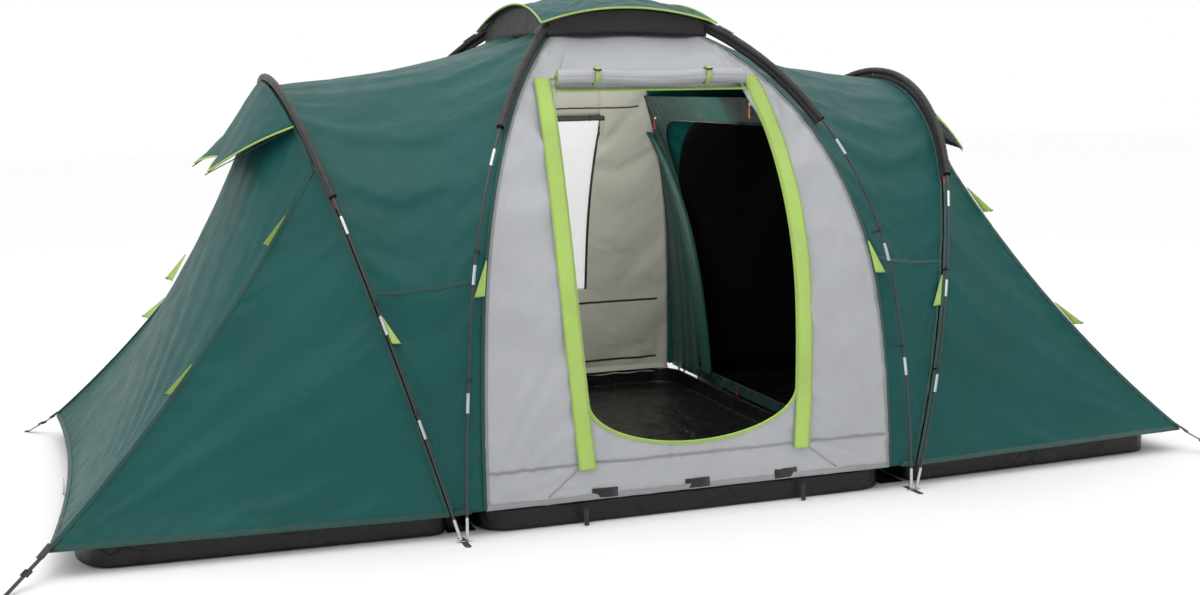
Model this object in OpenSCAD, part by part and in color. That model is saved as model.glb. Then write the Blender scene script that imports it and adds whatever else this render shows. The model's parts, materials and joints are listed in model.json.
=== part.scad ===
// Two-bedroom dome tent: two crossed main poles over a living area, a hoop pole over each
// bedroom, and a fly that slopes from each hoop down to pegged corners.
// X runs along the tent, the door faces -Y, Z is up and the ground is z = 0.

/* [Frame] */
// Half the distance between the left and the right pole feet
foot_x = 920; // [900:5:940]
// Half the distance between the front and the back pole feet
foot_y = 1230; // [1200:5:1260]
// Distance between a main pole's foot and the hoop's foot beside it
foot_gap = 20; // [18:1:24]
// Height of the crown, where the main poles cross
crown_h = 1990; // [1960:5:2020]
// Bend radius of a main pole over the crown
main_r = 1480; // [1460:5:1500]
// Angle from the vertical at which a main pole straightens into its leg
main_turn = 79; // [79:1:81]
// How far out of the middle a hoop's highest point stands
hoop_x = 1425; // [1400:5:1450]
// Height of a hoop's highest point
hoop_h = 1684; // [1660:2:1710]
// Bend radius of a hoop over its top
hoop_r = 1015; // [1000:5:1030]
// Angle from the hoop's own centre line at which it straightens into its leg
hoop_turn = 63; // [61:1:65]

/* [Poles] */
// Outer diameter of the glass-fibre pole sections
pole_d = 9.5; // [8.5:0.5:11]
// Diameter of the hole along the pole sections
pole_bore = 5.5; // [5:0.5:6]
// Diameter of the elastic cord inside the poles
cord_d = 3; // [2:0.5:3.5]
// Length of a metal ferrule
ferrule_l = 72; // [60:2:80]
// Length of the metal tip at each end of a pole
tip_l = 92; // [80:2:100]

/* [Fly] */
// How far below the pole's centre line the fly hangs
hang = 40; // [38:1:44]
// Thickness of the fabric sheets
cloth = 3; // [2.5:0.5:3]
// Height of the hem above the ground
hem_z = 100; // [95:1:105]
// Half the length of the tent at its outer corners
corner_x = 2345; // [2300:5:2380]
// Half the width of the tent at its outer corners
corner_y = 1110; // [1080:5:1130]
// Distance of a corner peg beyond the fly's corner, along X and along Y
peg_out = 135; // [120:5:150]

/* [Doorway] */
// Half the width of the doorway
door_x = 420; // [400:5:440]
// Height of the doorway's lowest point
door_sill = 287; // [270:1:310]
// Height at which the doorway's round bottom begins
door_bend = 470; // [450:5:500]
// Width of the strip that covers each door zip
strip_w = 68; // [60:1:75]
// Diameter of the rolled-up door
roll_d = 66; // [56:1:70]

/* [Inside] */
// Height of a groundsheet's turned-up edge
tub_h = 86; // [80:1:90]
// Half the width of the back window
window_x = 345; // [320:5:360]

/* [Hidden] */
$fn = 32;

green = "#2f6a66";
grey = "#a9adb0";
beige = "#aeaea2";
lime = "#b5d66e";
black = "#1e1f20";
silver = "#d9dcde";
red = "#c23b34";

// ---- pole curves: a crown arc that runs into a straighter leg arc ending on the foot ----
// A profile is [leg radius, leg centre, crown centre, crown radius, turn, foot angle, leg length,
// half length]. Its own plane has s outwards and h up, and its foot is at [span, 0].
function profile(span, h, r, turn) =
    let (p = [span, r - h], n = [sin(turn), cos(turn)], pn = p * n,
        leg = (2 * r * pn - p * p - r * r) / (2 * pn - 2 * r),
        top = [0, h - r], mid = top + (r - leg) * n,
        foot = atan2(span - mid[0], -mid[1]),
        leg_len = leg * (foot - turn) * PI / 180)
    [leg, mid, top, r, turn, foot, leg_len, leg_len + r * turn * PI / 180];
function half_len(pr) = pr[7];
// Angle from the vertical at the distance w along the pole from its foot
function angle_at(pr, w) =
    w < pr[6] ? pr[5] - w / pr[0] * 180 / PI : pr[4] - (w - pr[6]) / pr[3] * 180 / PI;
// Point at the distance w from the foot, moved inwards by the offset o
function at(pr, w, o = 0) =
    let (a = angle_at(pr, w))
    w < pr[6] ? pr[1] + (pr[0] - o) * [sin(a), cos(a)] : pr[2] + (pr[3] - o) * [sin(a), cos(a)];

diag = norm([foot_x, foot_y]);
diag_x = foot_x / diag;
diag_y = foot_y / diag;
diag_az = atan2(foot_y, foot_x);
hoop_foot = foot_x + foot_gap;
hoop_rise = norm([hoop_x - hoop_foot, hoop_h]);
hoop_lean = atan2(hoop_x - hoop_foot, hoop_h);
MAIN = profile(diag, crown_h, main_r, main_turn);
MAIN_B = profile(diag, crown_h + pole_d + 6, main_r, main_turn);
HOOP = profile(foot_y, hoop_rise, hoop_r, hoop_turn);
main_half = half_len(MAIN);
hoop_half = half_len(HOOP);

function main_pt(sx, sy, w, o = 0) =
    let (q = at(MAIN, w, o)) [sx * diag_x * q[0], sy * diag_y * q[0], q[1]];
function hoop_pt(sx, sy, w, o = 0) =
    let (q = at(HOOP, w, o), k = q[1] / hoop_rise)
    [sx * (hoop_foot + (hoop_x - hoop_foot) * k), sy * q[0], hoop_h * k];
function mix(a, b, t) = a + (b - a) * t;
function unit(v) = v / norm(v);

// Joints of the sections, measured from the foot
main_pitch = 463;
hoop_pitch = 399;
main_first = 46;
hoop_first = 41;
joints_per_leg = 5;
function joint_at(first, pitch, k, half) = k > joints_per_leg ? half : first + k * pitch;

// ---- solids that follow a pole ----
// Places its children, drawn in a profile's own plane (X out, Z up), on pole leg sx, sy
module on_main(sx, sy) {
    rotate([0, 0, atan2(sy * foot_y, sx * foot_x)]) children();
}
module on_hoop(sx, sy) {
    translate([sx * hoop_foot, 0, 0]) rotate([0, sx * hoop_lean, 0])
        rotate([0, 0, sy * 90]) children();
}
// A swept stretch of an arc between two angles from the vertical; children() is the section,
// with X pointing away from the arc's centre
module arc_sweep(centre, r, a0, a1) {
    translate([centre[0], 0, centre[1]]) rotate([90, 0, 0]) rotate([0, 0, 90 - a1])
        rotate_extrude(angle = a1 - a0, $fn = 96) translate([r, 0]) children();
}
// A swept stretch from w0 to w1 along one leg of a pole
module along(pr, w0, w1) {
    leg = pr[6];
    if (w0 < leg)
        arc_sweep(pr[1], pr[0], w1 > leg ? pr[4] : angle_at(pr, w1), angle_at(pr, w0)) children();
    if (w1 > leg)
        arc_sweep(pr[2], pr[3], angle_at(pr, w1), w0 > leg ? angle_at(pr, w0) : pr[4]) children();
}
module ring2d(outer, inner) {
    difference() {
        circle(d = outer, $fn = 24);
        circle(d = inner, $fn = 24);
    }
}
// The sections of one leg, from the tip to the crown
module leg_sections(pr, first, pitch) {
    gap = 0.4;
    for (k = [0:joints_per_leg]) {
        w0 = k == 0 ? 9 : joint_at(first, pitch, k, half_len(pr)) + gap;
        w1 = joint_at(first, pitch, k + 1, half_len(pr)) - gap;
        along(pr, w0, w1) ring2d(pole_d, pole_bore);
    }
}
module leg_ferrules(pr, first, pitch) {
    for (k = [1:joints_per_leg]) {
        w = joint_at(first, pitch, k, half_len(pr));
        along(pr, w - ferrule_l / 2, w + ferrule_l / 2) ring2d(pole_d + 4.2, pole_d + 0.4);
    }
    along(pr, half_len(pr) - ferrule_l / 2, half_len(pr) - 0.2) ring2d(pole_d + 4.2, pole_d + 0.4);
}

module main_pole_a() {
    color("#2b2d30") for (s = [-1, 1]) on_main(s, s) leg_sections(MAIN, main_first, main_pitch);
}
module main_pole_b() {
    color("#2b2d30") for (s = [-1, 1]) on_main(s, -s) leg_sections(MAIN_B, main_first, main_pitch);
}
module hoop_pole(sx) {
    color("#2b2d30") for (s = [-1, 1]) on_hoop(sx, s) leg_sections(HOOP, hoop_first, hoop_pitch);
}
module each_leg() {
    // $pr, $first and $pitch say which pole a leg belongs to
    for (sx = [-1, 1], sy = [-1, 1]) {
        $sx = sx;
        $sy = sy;
        $first = main_first;
        $pitch = main_pitch;
        $pr = sx == sy ? MAIN : MAIN_B;
        on_main(sx, sy) children();
    }
    for (sx = [-1, 1], sy = [-1, 1]) {
        $sx = sx;
        $sy = sy;
        $first = hoop_first;
        $pitch = hoop_pitch;
        $pr = HOOP;
        on_hoop(sx, sy) children();
    }
}
module shock_cords() {
    color("#e8e8e8") each_leg() for (r = [[40, $pr[6] - 0.3], [$pr[6] + 0.3, half_len($pr) - 0.3]])
        along($pr, r[0], r[1]) circle(d = cord_d, $fn = 16);
}
module pole_ferrules() {
    color(silver) each_leg() leg_ferrules($pr, $first, $pitch);
}
module pole_tips() {
    color(silver) each_leg() along($pr, 12, tip_l) ring2d(pole_d + 3.6, pole_d + 0.4);
}

// ---- fabric sheets ----
function flip(f) = [for (i = [len(f) - 1:-1:0]) f[i]];
// A closed sheet over a grid of points, t thick towards the grid's normal side.
// wrap joins the last column to the first.
module sheet(g, t, wrap = false) {
    rows = len(g);
    cols = len(g[0]);
    n = rows * cols;
    cells = wrap ? cols : cols - 1;
    function prev(j) = wrap ? (j + cols - 1) % cols : max(j - 1, 0);
    function next(j) = wrap ? (j + 1) % cols : min(j + 1, cols - 1);
    function normal(i, j) = unit(cross(
        g[min(i + 1, rows - 1)][j] - g[max(i - 1, 0)][j], g[i][next(j)] - g[i][prev(j)]));
    function id(i, j) = i * cols + j % cols;
    pts = concat([for (i = [0:rows - 1], j = [0:cols - 1]) g[i][j]],
        [for (i = [0:rows - 1], j = [0:cols - 1]) g[i][j] + t * normal(i, j)]);
    // Each cell is cut along the same diagonal on both skins
    skin = [for (i = [0:rows - 2], j = [0:cells - 1], k = [0:3])
        let (a = id(i, j), b = id(i + 1, j), c = id(i + 1, j + 1), d = id(i, j + 1))
        k == 0 ? [a, b, c] : k == 1 ? [a, c, d] : k == 2 ? [c + n, b + n, a + n] : [d + n, c + n, a + n]];
    ends = [for (j = [0:cells - 1], k = [0:3])
        let (a = id(0, j), d = id(0, j + 1), b = id(rows - 1, j), c = id(rows - 1, j + 1))
        k == 0 ? [a, d, d + n] : k == 1 ? [a, d + n, a + n] : k == 2 ? [c, b, b + n] : [c, b + n, c + n]];
    sides = wrap ? [] : [for (i = [0:rows - 2], k = [0:3])
        let (a = id(i, 0), b = id(i + 1, 0), d = id(i, cols - 1), c = id(i + 1, cols - 1))
        k == 0 ? [b, a, a + n] : k == 1 ? [b, a + n, b + n] : k == 2 ? [d, c, c + n] : [d, c + n, d + n]];
    faces = concat(skin, ends, sides);
    polyhedron(pts, t > 0 ? faces : [for (f = faces) flip(f)], convexity = 8);
}

// How far inside the pole line the seam between the grey panels and the roof panels lies
function seam_in(w) = 8 + 50 * pow(max(0, 1 - w / 1800), 1.2);
function seam_x(w) = at(MAIN, w, hang)[0] * diag_x - seam_in(w);
// A point of the front (sy = -1) or back panel: x along the tent, w up along the poles
function wall_pt(sy, x, w, o = hang) =
    let (q = at(MAIN, w, o)) [x, sy * diag_y * q[0], q[1]];

hem_w = 100;
panel_top = 2690;
door_top = 1800;
// Loops in x, w: the outer edge of an end-on panel and the edge of the opening in it,
// with matching points, from the bottom left anticlockwise
n_low = 16;
n_side = 16;
n_top = 6;
function outer_loop(low, top, edge) = concat(
    [for (i = [0:n_low - 1]) [mix(-seam_x(low) + edge, seam_x(low) - edge, i / n_low), low]],
    [for (i = [0:n_side - 1]) let (w = mix(low, top, i / n_side)) [seam_x(w) - edge, w]],
    [for (i = [0:n_top - 1]) [mix(1, -1, i / n_top) * (seam_x(top) - edge), top]],
    [for (i = [0:n_side - 1]) let (w = mix(top, low, i / n_side)) [-seam_x(w) + edge, w]]);
// The doorway's sides bow outwards between the strip's ends
strip_low = 215;
strip_top = 1880;
door_bow = 42;
function bow(w) = door_bow * sin(180 * max(0, min(1, (w - strip_low) / (strip_top - strip_low))));
function door_edge(w) = door_x - 10 + bow(w);
function door_loop(grow) =
    let (hx = door_edge(door_bend) + grow, drop = door_bend - door_sill + grow, top = door_top + grow)
    concat(
    [for (i = [0:n_low - 1]) let (a = 180 + 180 * i / n_low)
        [hx * cos(a), door_bend + drop * sin(a)]],
    [for (i = [0:n_side - 1]) let (w = mix(door_bend, top, i / n_side)) [door_edge(w) + grow, w]],
    [for (i = [0:n_top - 1]) [mix(1, -1, i / n_top) * (door_edge(top) + grow), top]],
    [for (i = [0:n_side - 1]) let (w = mix(top, door_bend, i / n_side)) [-door_edge(w) - grow, w]]);
window_low = 560;
window_high = 1600;
function window_loop(grow) = let (hx = window_x + grow) concat(
    [for (i = [0:n_low - 1]) [mix(-hx, hx, i / n_low), window_low - grow]],
    [for (i = [0:n_side - 1]) [hx, mix(window_low - grow, window_high + grow, i / n_side)]],
    [for (i = [0:n_top - 1]) [mix(hx, -hx, i / n_top), window_high + grow]],
    [for (i = [0:n_side - 1]) [-hx, mix(window_high + grow, window_low - grow, i / n_side)]]);
function wall_grid(sy, inner, outer, rows) = [for (i = [0:rows]) [for (j = [0:len(inner) - 1])
    let (p = mix(inner[j], outer[j], i / rows)) wall_pt(sy, p[0], p[1])]];

module front_panel() {
    color(grey) sheet(wall_grid(-1, door_loop(0), outer_loop(hem_w, panel_top, 4), 3), cloth, true);
}
module back_panel() {
    color(beige) sheet(wall_grid(1, window_loop(0), outer_loop(hem_w, panel_top, 4), 3), -cloth, true);
}

// Half of a roof panel's edge on the main poles, seen along the whole way from the front foot
// over the crown to the back foot: t from -1 to 1
roof_low = 100;
function roof_w(t, half) = mix(half, roof_low, abs(t));
function side_of(t) = t < 0 ? -1 : 1;
function main_edge(sx, t) =
    let (w = roof_w(t, main_half), p = main_pt(sx, side_of(t), w, hang)) [sx * max(abs(p[0]), 5), p[1], p[2]];
function seam_edge(sx, t) =
    let (w = roof_w(t, main_half), p = main_edge(sx, t)) [sx * max(seam_x(w), 5), p[1], p[2]];
function hoop_edge(sx, t, shift) =
    hoop_pt(sx, side_of(t), roof_w(t, hoop_half), hang) + [sx * shift, 0, 0];
roof_sag = 46;
function roof_pt(sx, t, v) =
    let (m = main_edge(sx, t), h = hoop_edge(sx, t, -5), p = mix(m, h, v),
        d = roof_sag * 4 * v * (1 - v))
    p - d * [0, 0.35 * p[1] / foot_y, p[2] / crown_h];
function roof_grid(sx, n, cols) = [for (i = [0:n]) let (t = mix(-1, 1, i / n)) concat(
    [seam_edge(sx, t)], [for (j = [0:cols]) roof_pt(sx, t, mix(0.012, 1, j / cols))])];
module roof_panel(sx) {
    color(green) sheet(roof_grid(sx, 36, 6), sx > 0 ? -cloth : cloth);
}

// ---- the sloping ends over the bedrooms ----
ridge_w = 1541;
end_shift = 5;
ridge_sag = 70;
function corner(sx, sy) = [sx * corner_x, sy * corner_y, hem_z];
function ridge(sx, sy, s) =
    let (a = hoop_pt(sx, sy, ridge_w, hang) + [sx * end_shift, 0, 0], b = corner(sx, sy),
        p = mix(a, b, s))
    p - ridge_sag * 4 * s * (1 - s) * [0.4 * sx, 0.4 * sy, 0.8];
function end_top(sx, u) =
    hoop_pt(sx, side_of(u), mix(ridge_w, hoop_half, 1 - abs(u)), hang) + [sx * end_shift, 0, 0];
hem_bow = 60;
function end_low(sx, u) = [sx * (corner_x - hem_bow * (1 - u * u)), u * corner_y, hem_z];
function end_pt(sx, u, s) =
    let (f = ridge(sx, -1, s), b = ridge(sx, 1, s), k = (1 + u) / 2)
    mix(end_top(sx, u), end_low(sx, u), s) + mix(f, b, k)
        - mix(mix(end_top(sx, -1), end_top(sx, 1), k), mix(end_low(sx, -1), end_low(sx, 1), k), s);
module end_panel(sx) {
    g = [for (i = [0:14]) [for (j = [0:20]) end_pt(sx, mix(-0.985, 0.985, j / 20), i / 14)]];
    color(green) sheet(g, sx > 0 ? cloth : -cloth);
}
function flank_pt(sx, sy, s, v) =
    let (a = hoop_pt(sx, sy, mix(ridge_w, roof_low, s), hang) + [sx * end_shift, 0, 0],
        b = ridge(sx, sy, s))
    mix(a, b, v);
module side_panel(sx, sy) {
    g = [for (i = [0:12]) [for (j = [0:8]) flank_pt(sx, sy, mix(0.02, 1, i / 12), j / 8)]];
    color(green) sheet(g, sx * sy > 0 ? -cloth : cloth);
}

// ---- sleeves and what holds the fly to the poles ----
main_sleeve_w = 1574;
hoop_sleeve_w = 1357;
sleeve_gap = 150;
// A round channel with a flat sewn tail towards the fly
module sleeve2d() {
    difference() {
        union() {
            circle(d = 30, $fn = 24);
            translate([-35, -1.2]) square([24, 2.4]);
        }
        circle(d = 26, $fn = 24);
    }
}
module main_sleeves() {
    color(black) for (sx = [-1, 1], sy = [-1, 1])
        on_main(sx, sy) along(sx == sy ? MAIN : MAIN_B, main_sleeve_w, main_half - sleeve_gap) sleeve2d();
}
module hoop_sleeves() {
    color(black) for (sx = [-1, 1], sy = [-1, 1])
        on_hoop(sx, sy) along(HOOP, hoop_sleeve_w, hoop_half - 0.3) sleeve2d();
}
// Short tapes at the mouths of the hoop sleeves
module sleeve_ribbons() {
    color(red) for (sx = [-1, 1], sy = [-1, 1])
        on_hoop(sx, sy) along(HOOP, hoop_sleeve_w - 34, hoop_sleeve_w - 1)
            translate([-34, -6]) square([16, 1.2]);
}
eyelet_r = 5;
module sleeve_eyelets() {
    color("#c9a75a") {
        for (sx = [-1, 1], sy = [-1, 1]) {
            on_main(sx, sy) eyelet(sx == sy ? MAIN : MAIN_B, 1727);
            on_hoop(sx, sy) eyelet(HOOP, 1541);
        }
    }
}
// A brass ring let into the sleeve's tail
module eyelet(pr, w) {
    p = at(pr, w, 26);
    translate([p[0], 1.5, p[1]]) rotate([-90, 0, 0]) rotate_extrude() translate([3, 0]) square([2, 1.4]);
}
// Plastic hooks that hang the fly from the bare legs
module clip(pr, w) {
    difference() {
        union() {
            along(pr, w - 7, w + 7) ring2d(pole_d + 7, pole_d + 0.8);
            along(pr, w - 5, w + 5) translate([-34, -2]) square([27, 4]);
        }
        along(pr, w - 8, w + 8) circle(d = pole_d + 0.8, $fn = 24);
    }
}
module pole_clips() {
    color(black) for (sx = [-1, 1], sy = [-1, 1]) {
        for (w = [590, 1062]) on_main(sx, sy) clip(sx == sy ? MAIN : MAIN_B, w);
        for (w = [500, 925]) on_hoop(sx, sy) clip(HOOP, w);
    }
}

// ---- feet: each pole end stands on a steel pin, and one bar joins the two pins ----
pin_d = 4;
bar_z = 4;
module foot_pins() {
    color(silver) {
        for (sx = [-1, 1], sy = [-1, 1]) {
            on_main(sx, sy) along(sx == sy ? MAIN : MAIN_B, bar_z, 34) circle(d = pin_d, $fn = 24);
            on_hoop(sx, sy) along(HOOP, bar_z, 34) circle(d = pin_d, $fn = 24);
            translate([sx * (foot_x + foot_gap / 2), sy * foot_y, bar_z]) rotate([0, 90, 0])
                cylinder(d = pin_d, h = 60, center = true);
        }
    }
}
tub_y = 1165;
foot_eye_y = 52;
module foot_webbing() {
    color(black) for (sx = [-1, 1], sy = [-1, 1])
        translate([sx * (foot_x + foot_gap / 2), sy * foot_y, 0]) difference() {
            translate([-12.5, sy > 0 ? tub_y + 8 - foot_y : -foot_eye_y - 14, 0])
                cube([25, foot_y - tub_y - 8 + foot_eye_y + 14, 1.6]);
            translate([0, sy * foot_eye_y, -1]) cylinder(r = peg_hole_r, h = 4);
        }
}
peg_hole_r = 4.25;

// ---- the roof cap over the crossing ----
cap_reach = 640;
cap_clear = 34;
cap_dip = 0.06;
function cap_pt(u, v) =
    let (x = u * cap_reach * diag_x * (1 - cap_dip * (1 - v * v)),
        y = v * cap_reach * diag_y * (1 - cap_dip * (1 - u * u)))
    [x, y, crown_h - main_r + sqrt(pow(main_r + cap_clear, 2) - x * x - y * y)];
module roof_cap() {
    color(green) sheet([for (i = [-6:6]) [for (j = [-6:6]) cap_pt(i / 6, j / 6)]], cloth);
}
module cap_tapes() {
    color(black) for (sx = [-1, 1], sy = [-1, 1])
        on_main(sx, sy) along(MAIN, main_half - 735, main_half - 658)
            translate([cap_clear - 4, -9]) square([1.6, 18]);
}

// ---- rain hoods over the end vents, each held out by two wands ----
hood_w = 1750;
hood_tip = [1697, 347, 1321];
hood_notch = 78;
hood_clear = 21;
function hood_top(sx, u) =
    hoop_pt(sx, side_of(u), mix(hood_w, hoop_half, 1 - abs(u)), 14)
        + hood_clear * [sx * cos(hoop_lean), 0, -sin(hoop_lean)];
function hood_low(sx, u) =
    [sx * (hood_tip[0] - hood_notch * (1 - abs(u))), u * hood_tip[1], hood_tip[2] + 40 * (1 - u * u)];
function hood_pt(sx, u, s) = mix(hood_top(sx, u), hood_low(sx, u), s) + [0, 0, 14 * sin(180 * s)];
module vent_hood(sx) {
    g = [for (i = [0:6]) [for (j = [-8:8]) hood_pt(sx, j / 8, i / 6)]];
    color(green) sheet(g, sx > 0 ? 2 : -2);
}
module rod(p, q, d) {
    v = q - p;
    translate(p) rotate([0, acos(v[2] / norm(v)), atan2(v[1], v[0])]) cylinder(d = d, h = norm(v), $fn = 16);
}
module hood_wands() {
    color(black) for (sx = [-1, 1], sy = [-1, 1]) {
        a = hood_pt(sx, sy, 0.06) - [0, sy * 7, 7];
        b = hood_pt(sx, sy, 1) - [0, sy * 7, 7];
        rod(a, b + 16 * unit(b - a), 4);
    }
}

// ---- doorway: strips, zip, roll and ties ----
module door_strips() {
    color(lime) for (sx = [-1, 1]) {
        g = [for (i = [0:16]) let (w = mix(strip_low, strip_top, i / 16))
            [for (k = [0, 1]) wall_pt(-1, sx * (door_edge(w) + k * strip_w), w, hang - 9)]];
        sheet(g, sx > 0 ? -1.5 : 1.5);
    }
}
module door_zip() {
    color(lime) sheet([for (k = [0, 1]) [for (p = door_loop(2 + 9 * k)) wall_pt(-1, p[0], p[1], hang - 4.2)]],
        1.2, true);
}
roll_w = 1838;
roll_half = 396;
tie_x = 236;
function roll_c() = wall_pt(-1, 0, roll_w, hang - cloth - roll_d / 2 - 7);
module along_roll(x, l) {
    c = roll_c();
    translate([x, c[1], c[2]]) rotate([0, 90, 0]) translate([0, 0, -l / 2]) children();
}
module door_roll() {
    color(grey) along_roll(0, 2 * roll_half) cylinder(d = roll_d, h = 2 * roll_half);
}
module door_ties() {
    color(lime) for (sx = [-1, 1]) along_roll(sx * tie_x, 20) difference() {
        cylinder(d = roll_d + 4, h = 20);
        translate([0, 0, -1]) cylinder(d = roll_d + 0.8, h = 22);
    }
}
// A barrel toggle that stands on the tie and turns to pass through its loop
toggle_tilt = 40;
toggle_l = 30;
toggle_d = 8;
function toggle_dir() = [0, -cos(toggle_tilt), sin(toggle_tilt)];
function toggle_c(sx) = roll_c() + [sx * tie_x, 0, 0] + (roll_d / 2 + 2 + 0.8 + toggle_d / 2) * toggle_dir();
module tie_toggle(sx) {
    color(black) translate(toggle_c(sx)) rotate([0, 90, 0]) rotate_extrude($fn = 24)
        polygon([[0, -toggle_l / 2], [2.6, -toggle_l / 2], [toggle_d / 2, -toggle_l / 2 + 3], [2.8, -3],
            [2.8, 3], [toggle_d / 2, toggle_l / 2 - 3], [2.6, toggle_l / 2], [0, toggle_l / 2]]);
    // The round stem it turns on, short of the tie
    color(black) translate(toggle_c(sx)) rotate([-90 - toggle_tilt, 0, 0])
        cylinder(d = 3, h = toggle_d / 2 + 0.5, $fn = 24);
}

// A zip slider's body, its back towards +Y, with a pin that its pull hangs from
slider_pin_d = 1.6;
module slider() {
    translate([-5, -2.5, -7]) cube([10, 5, 14]);
    for (x = [-3.4, 2.2]) translate([x, -6.5, -2.5]) cube([1.2, 4.5, 5]);
    translate([-3.4, -5, 0]) rotate([0, 90, 0]) cylinder(d = slider_pin_d, h = 6.8, $fn = 16);
}
// A pull that hangs from a slider's pin at the origin: an eye, a link and a tail that ends at l
module pull(l = 58) {
    difference() {
        union() {
            rotate([0, 90, 0]) cylinder(d = 4.8, h = 3.4, center = true, $fn = 24);
            translate([-1.7, -1, -16]) cube([3.4, 2, 15]);
            translate([-3, -1.6, -l]) cube([6, 3.2, l - 15]);
        }
        rotate([0, 90, 0]) cylinder(d = slider_pin_d + 0.6, h = 8, center = true, $fn = 24);
    }
}
function door_slider_pos() = wall_pt(-1, door_edge(1715) - 16, 1715, hang + 7.4);
module zip_sliders() {
    color("#6d7072") {
        translate(door_slider_pos()) rotate([0, 0, 180]) slider();
        translate(arch_pos()) rotate([0, 0, -90]) slider();
    }
}
module door_zip_pull() {
    color("#e0762c") translate(door_slider_pos() + [0, 5, 0]) pull();
}

module hem_patches() {
    color(black) for (x = [-376, 0, 376]) {
        g = [for (w = [104, 140]) [for (k = [-1, 1]) wall_pt(-1, x + 50 * k, w, hang - cloth - 2.4)]];
        sheet(g, -0.8);
    }
}

// ---- back wall: window film, rolled curtain and zips ----
module window_film() {
    g = [for (i = [0:12]) [for (j = [-1, 1])
        wall_pt(1, j * (window_x - 2), mix(window_low + 2, window_high - 2, i / 12))]];
    color("#e6e9ea", 0.5) sheet(g, 1);
}
curtain_d = 30;
module window_curtain() {
    c = wall_pt(1, 0, window_high + 6, hang + curtain_d / 2 + 5);
    color("#33312e") translate([-window_x - 12, c[1], c[2]]) rotate([0, 90, 0])
        cylinder(d = curtain_d, h = 2 * window_x + 24);
}
module back_zips() {
    color(black) for (z = [[145, 5], [472, 5], [1668, 12]]) {
        w = z[0];
        g = [for (k = [0, 1]) [for (j = [-1, 1]) wall_pt(1, j * (seam_x(w) - 70), w + 9 * k, hang + z[1])]];
        sheet(g, 1.2);
    }
}

// ---- groundsheets: shallow trays ----
module tray(pts, edge) {
    c = [for (k = [0, 1]) (min([for (p = pts) p[k]]) + max([for (p = pts) p[k]])) / 2];
    inner = [for (p = pts) let (v = p - c) c + [v[0] - sign(v[0]) * edge, v[1] - sign(v[1]) * edge]];
    difference() {
        linear_extrude(tub_h) polygon(pts);
        translate([0, 0, 2]) linear_extrude(tub_h) polygon(inner);
    }
}
living_x = 850;
cut = 70;
module groundsheet_living() {
    color(black) tray([[-living_x, -tub_y + cut], [-living_x + cut, -tub_y], [living_x - cut, -tub_y],
        [living_x, -tub_y + cut], [living_x, tub_y - cut], [living_x - cut, tub_y],
        [-living_x + cut, tub_y], [-living_x, tub_y - cut]], 2.5);
}
bed_in = 965;
bed_out = 2265;
module groundsheet_bed(sx) {
    y0 = 1125;
    y1 = 1070;
    color(black) tray([for (p = [[bed_in, -y0], [bed_out - cut, -y1], [bed_out, -y1 + 2 * cut],
        [bed_out, y1 - 2 * cut], [bed_out - cut, y1], [bed_in, y0]]) [sx * p[0], p[1]]], 2.5);
}

// ---- bedroom walls with a D doorway, cabins and tied-back doors ----
wall_in = 34;
function part_pt(sx, y, w, o = 0) =
    let (q = at(MAIN, w, hang)) [sx * (q[0] * diag_x - wall_in - o), y, q[1]];
function part_y(w) = at(MAIN, w, hang)[0] * diag_y - 16;
part_top = 1740;
d_half = 800;
d_low = 145;
d_top = 1575;
d_round = 260;
function part_outer() = concat(
    [for (i = [0:n_low - 1]) [mix(-part_y(95), part_y(95), i / n_low), 95]],
    [for (i = [0:n_side - 1]) let (w = mix(95, part_top, i / n_side)) [part_y(w), w]],
    [for (i = [0:n_low - 1]) [mix(part_y(part_top), -part_y(part_top), i / n_low), part_top]],
    [for (i = [0:n_side - 1]) let (w = mix(part_top, 95, i / n_side)) [-part_y(w), w]]);
function d_corner(t) = [d_half - d_round + d_round * sin(t), d_top - d_round + d_round * cos(t)];
function part_inner() = concat(
    [for (i = [0:n_low - 1]) [mix(-d_half, d_half, i / n_low), d_low]],
    [for (i = [0:n_side - 1]) [d_half, mix(d_low, d_top - d_round, i / (n_side - 1))]],
    [for (i = [0:n_low - 1]) let (k = i / (n_low - 1)) k < 0.3 ? d_corner(mix(82, 0, k / 0.3))
        : k > 0.7 ? let (c = d_corner(mix(0, 82, (k - 0.7) / 0.3))) [-c[0], c[1]]
        : [mix(d_half - d_round - 30, -d_half + d_round + 30, (k - 0.3) / 0.4), d_top]],
    [for (i = [0:n_side - 1]) [-d_half, mix(d_top - d_round, d_low, i / (n_side - 1))]]);
module bedroom_wall(sx) {
    inner = part_inner();
    outer = part_outer();
    g = [for (i = [0:2]) [for (j = [0:len(inner) - 1])
        let (p = mix(inner[j], outer[j], i / 2)) part_pt(sx, p[0], p[1])]];
    color("#24504c") sheet(g, sx > 0 ? 2 : -2, true);
}
// Arches from the bedroom wall outwards: [distance out at the floor, at the top, half width, height,
// how far the sides swell outwards]
arches = [[905, 640, 1090, 1480, 75], [1000, 1300, 1070, 1460, 0], [1450, 1510, 1040, 1180, 0],
    [1850, 1830, 1020, 660, 0], [2130, 2120, 990, 210, 0]];
arch_low = 92;
function arch_pt(sx, a, u) =
    let (t = 90 * (u + 1), c = cos(t), k = pow(max(0, sin(t)), 0.8))
    [sx * (mix(a[0], a[1], k) + a[4] * 4 * k * (1 - k)), -a[2] * sign(c) * pow(abs(c), 0.8),
        mix(arch_low, a[3], k)];
module bedroom_cabin(sx) {
    g = [for (a = arches) [for (j = [0:20]) arch_pt(sx, a, mix(-1, 1, j / 20))]];
    color("#1b2624") sheet(g, sx > 0 ? 2 : -2);
}
function ring_pt(c, rx, ry, a) = c + [rx * cos(a), ry * sin(a), 0];
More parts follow.
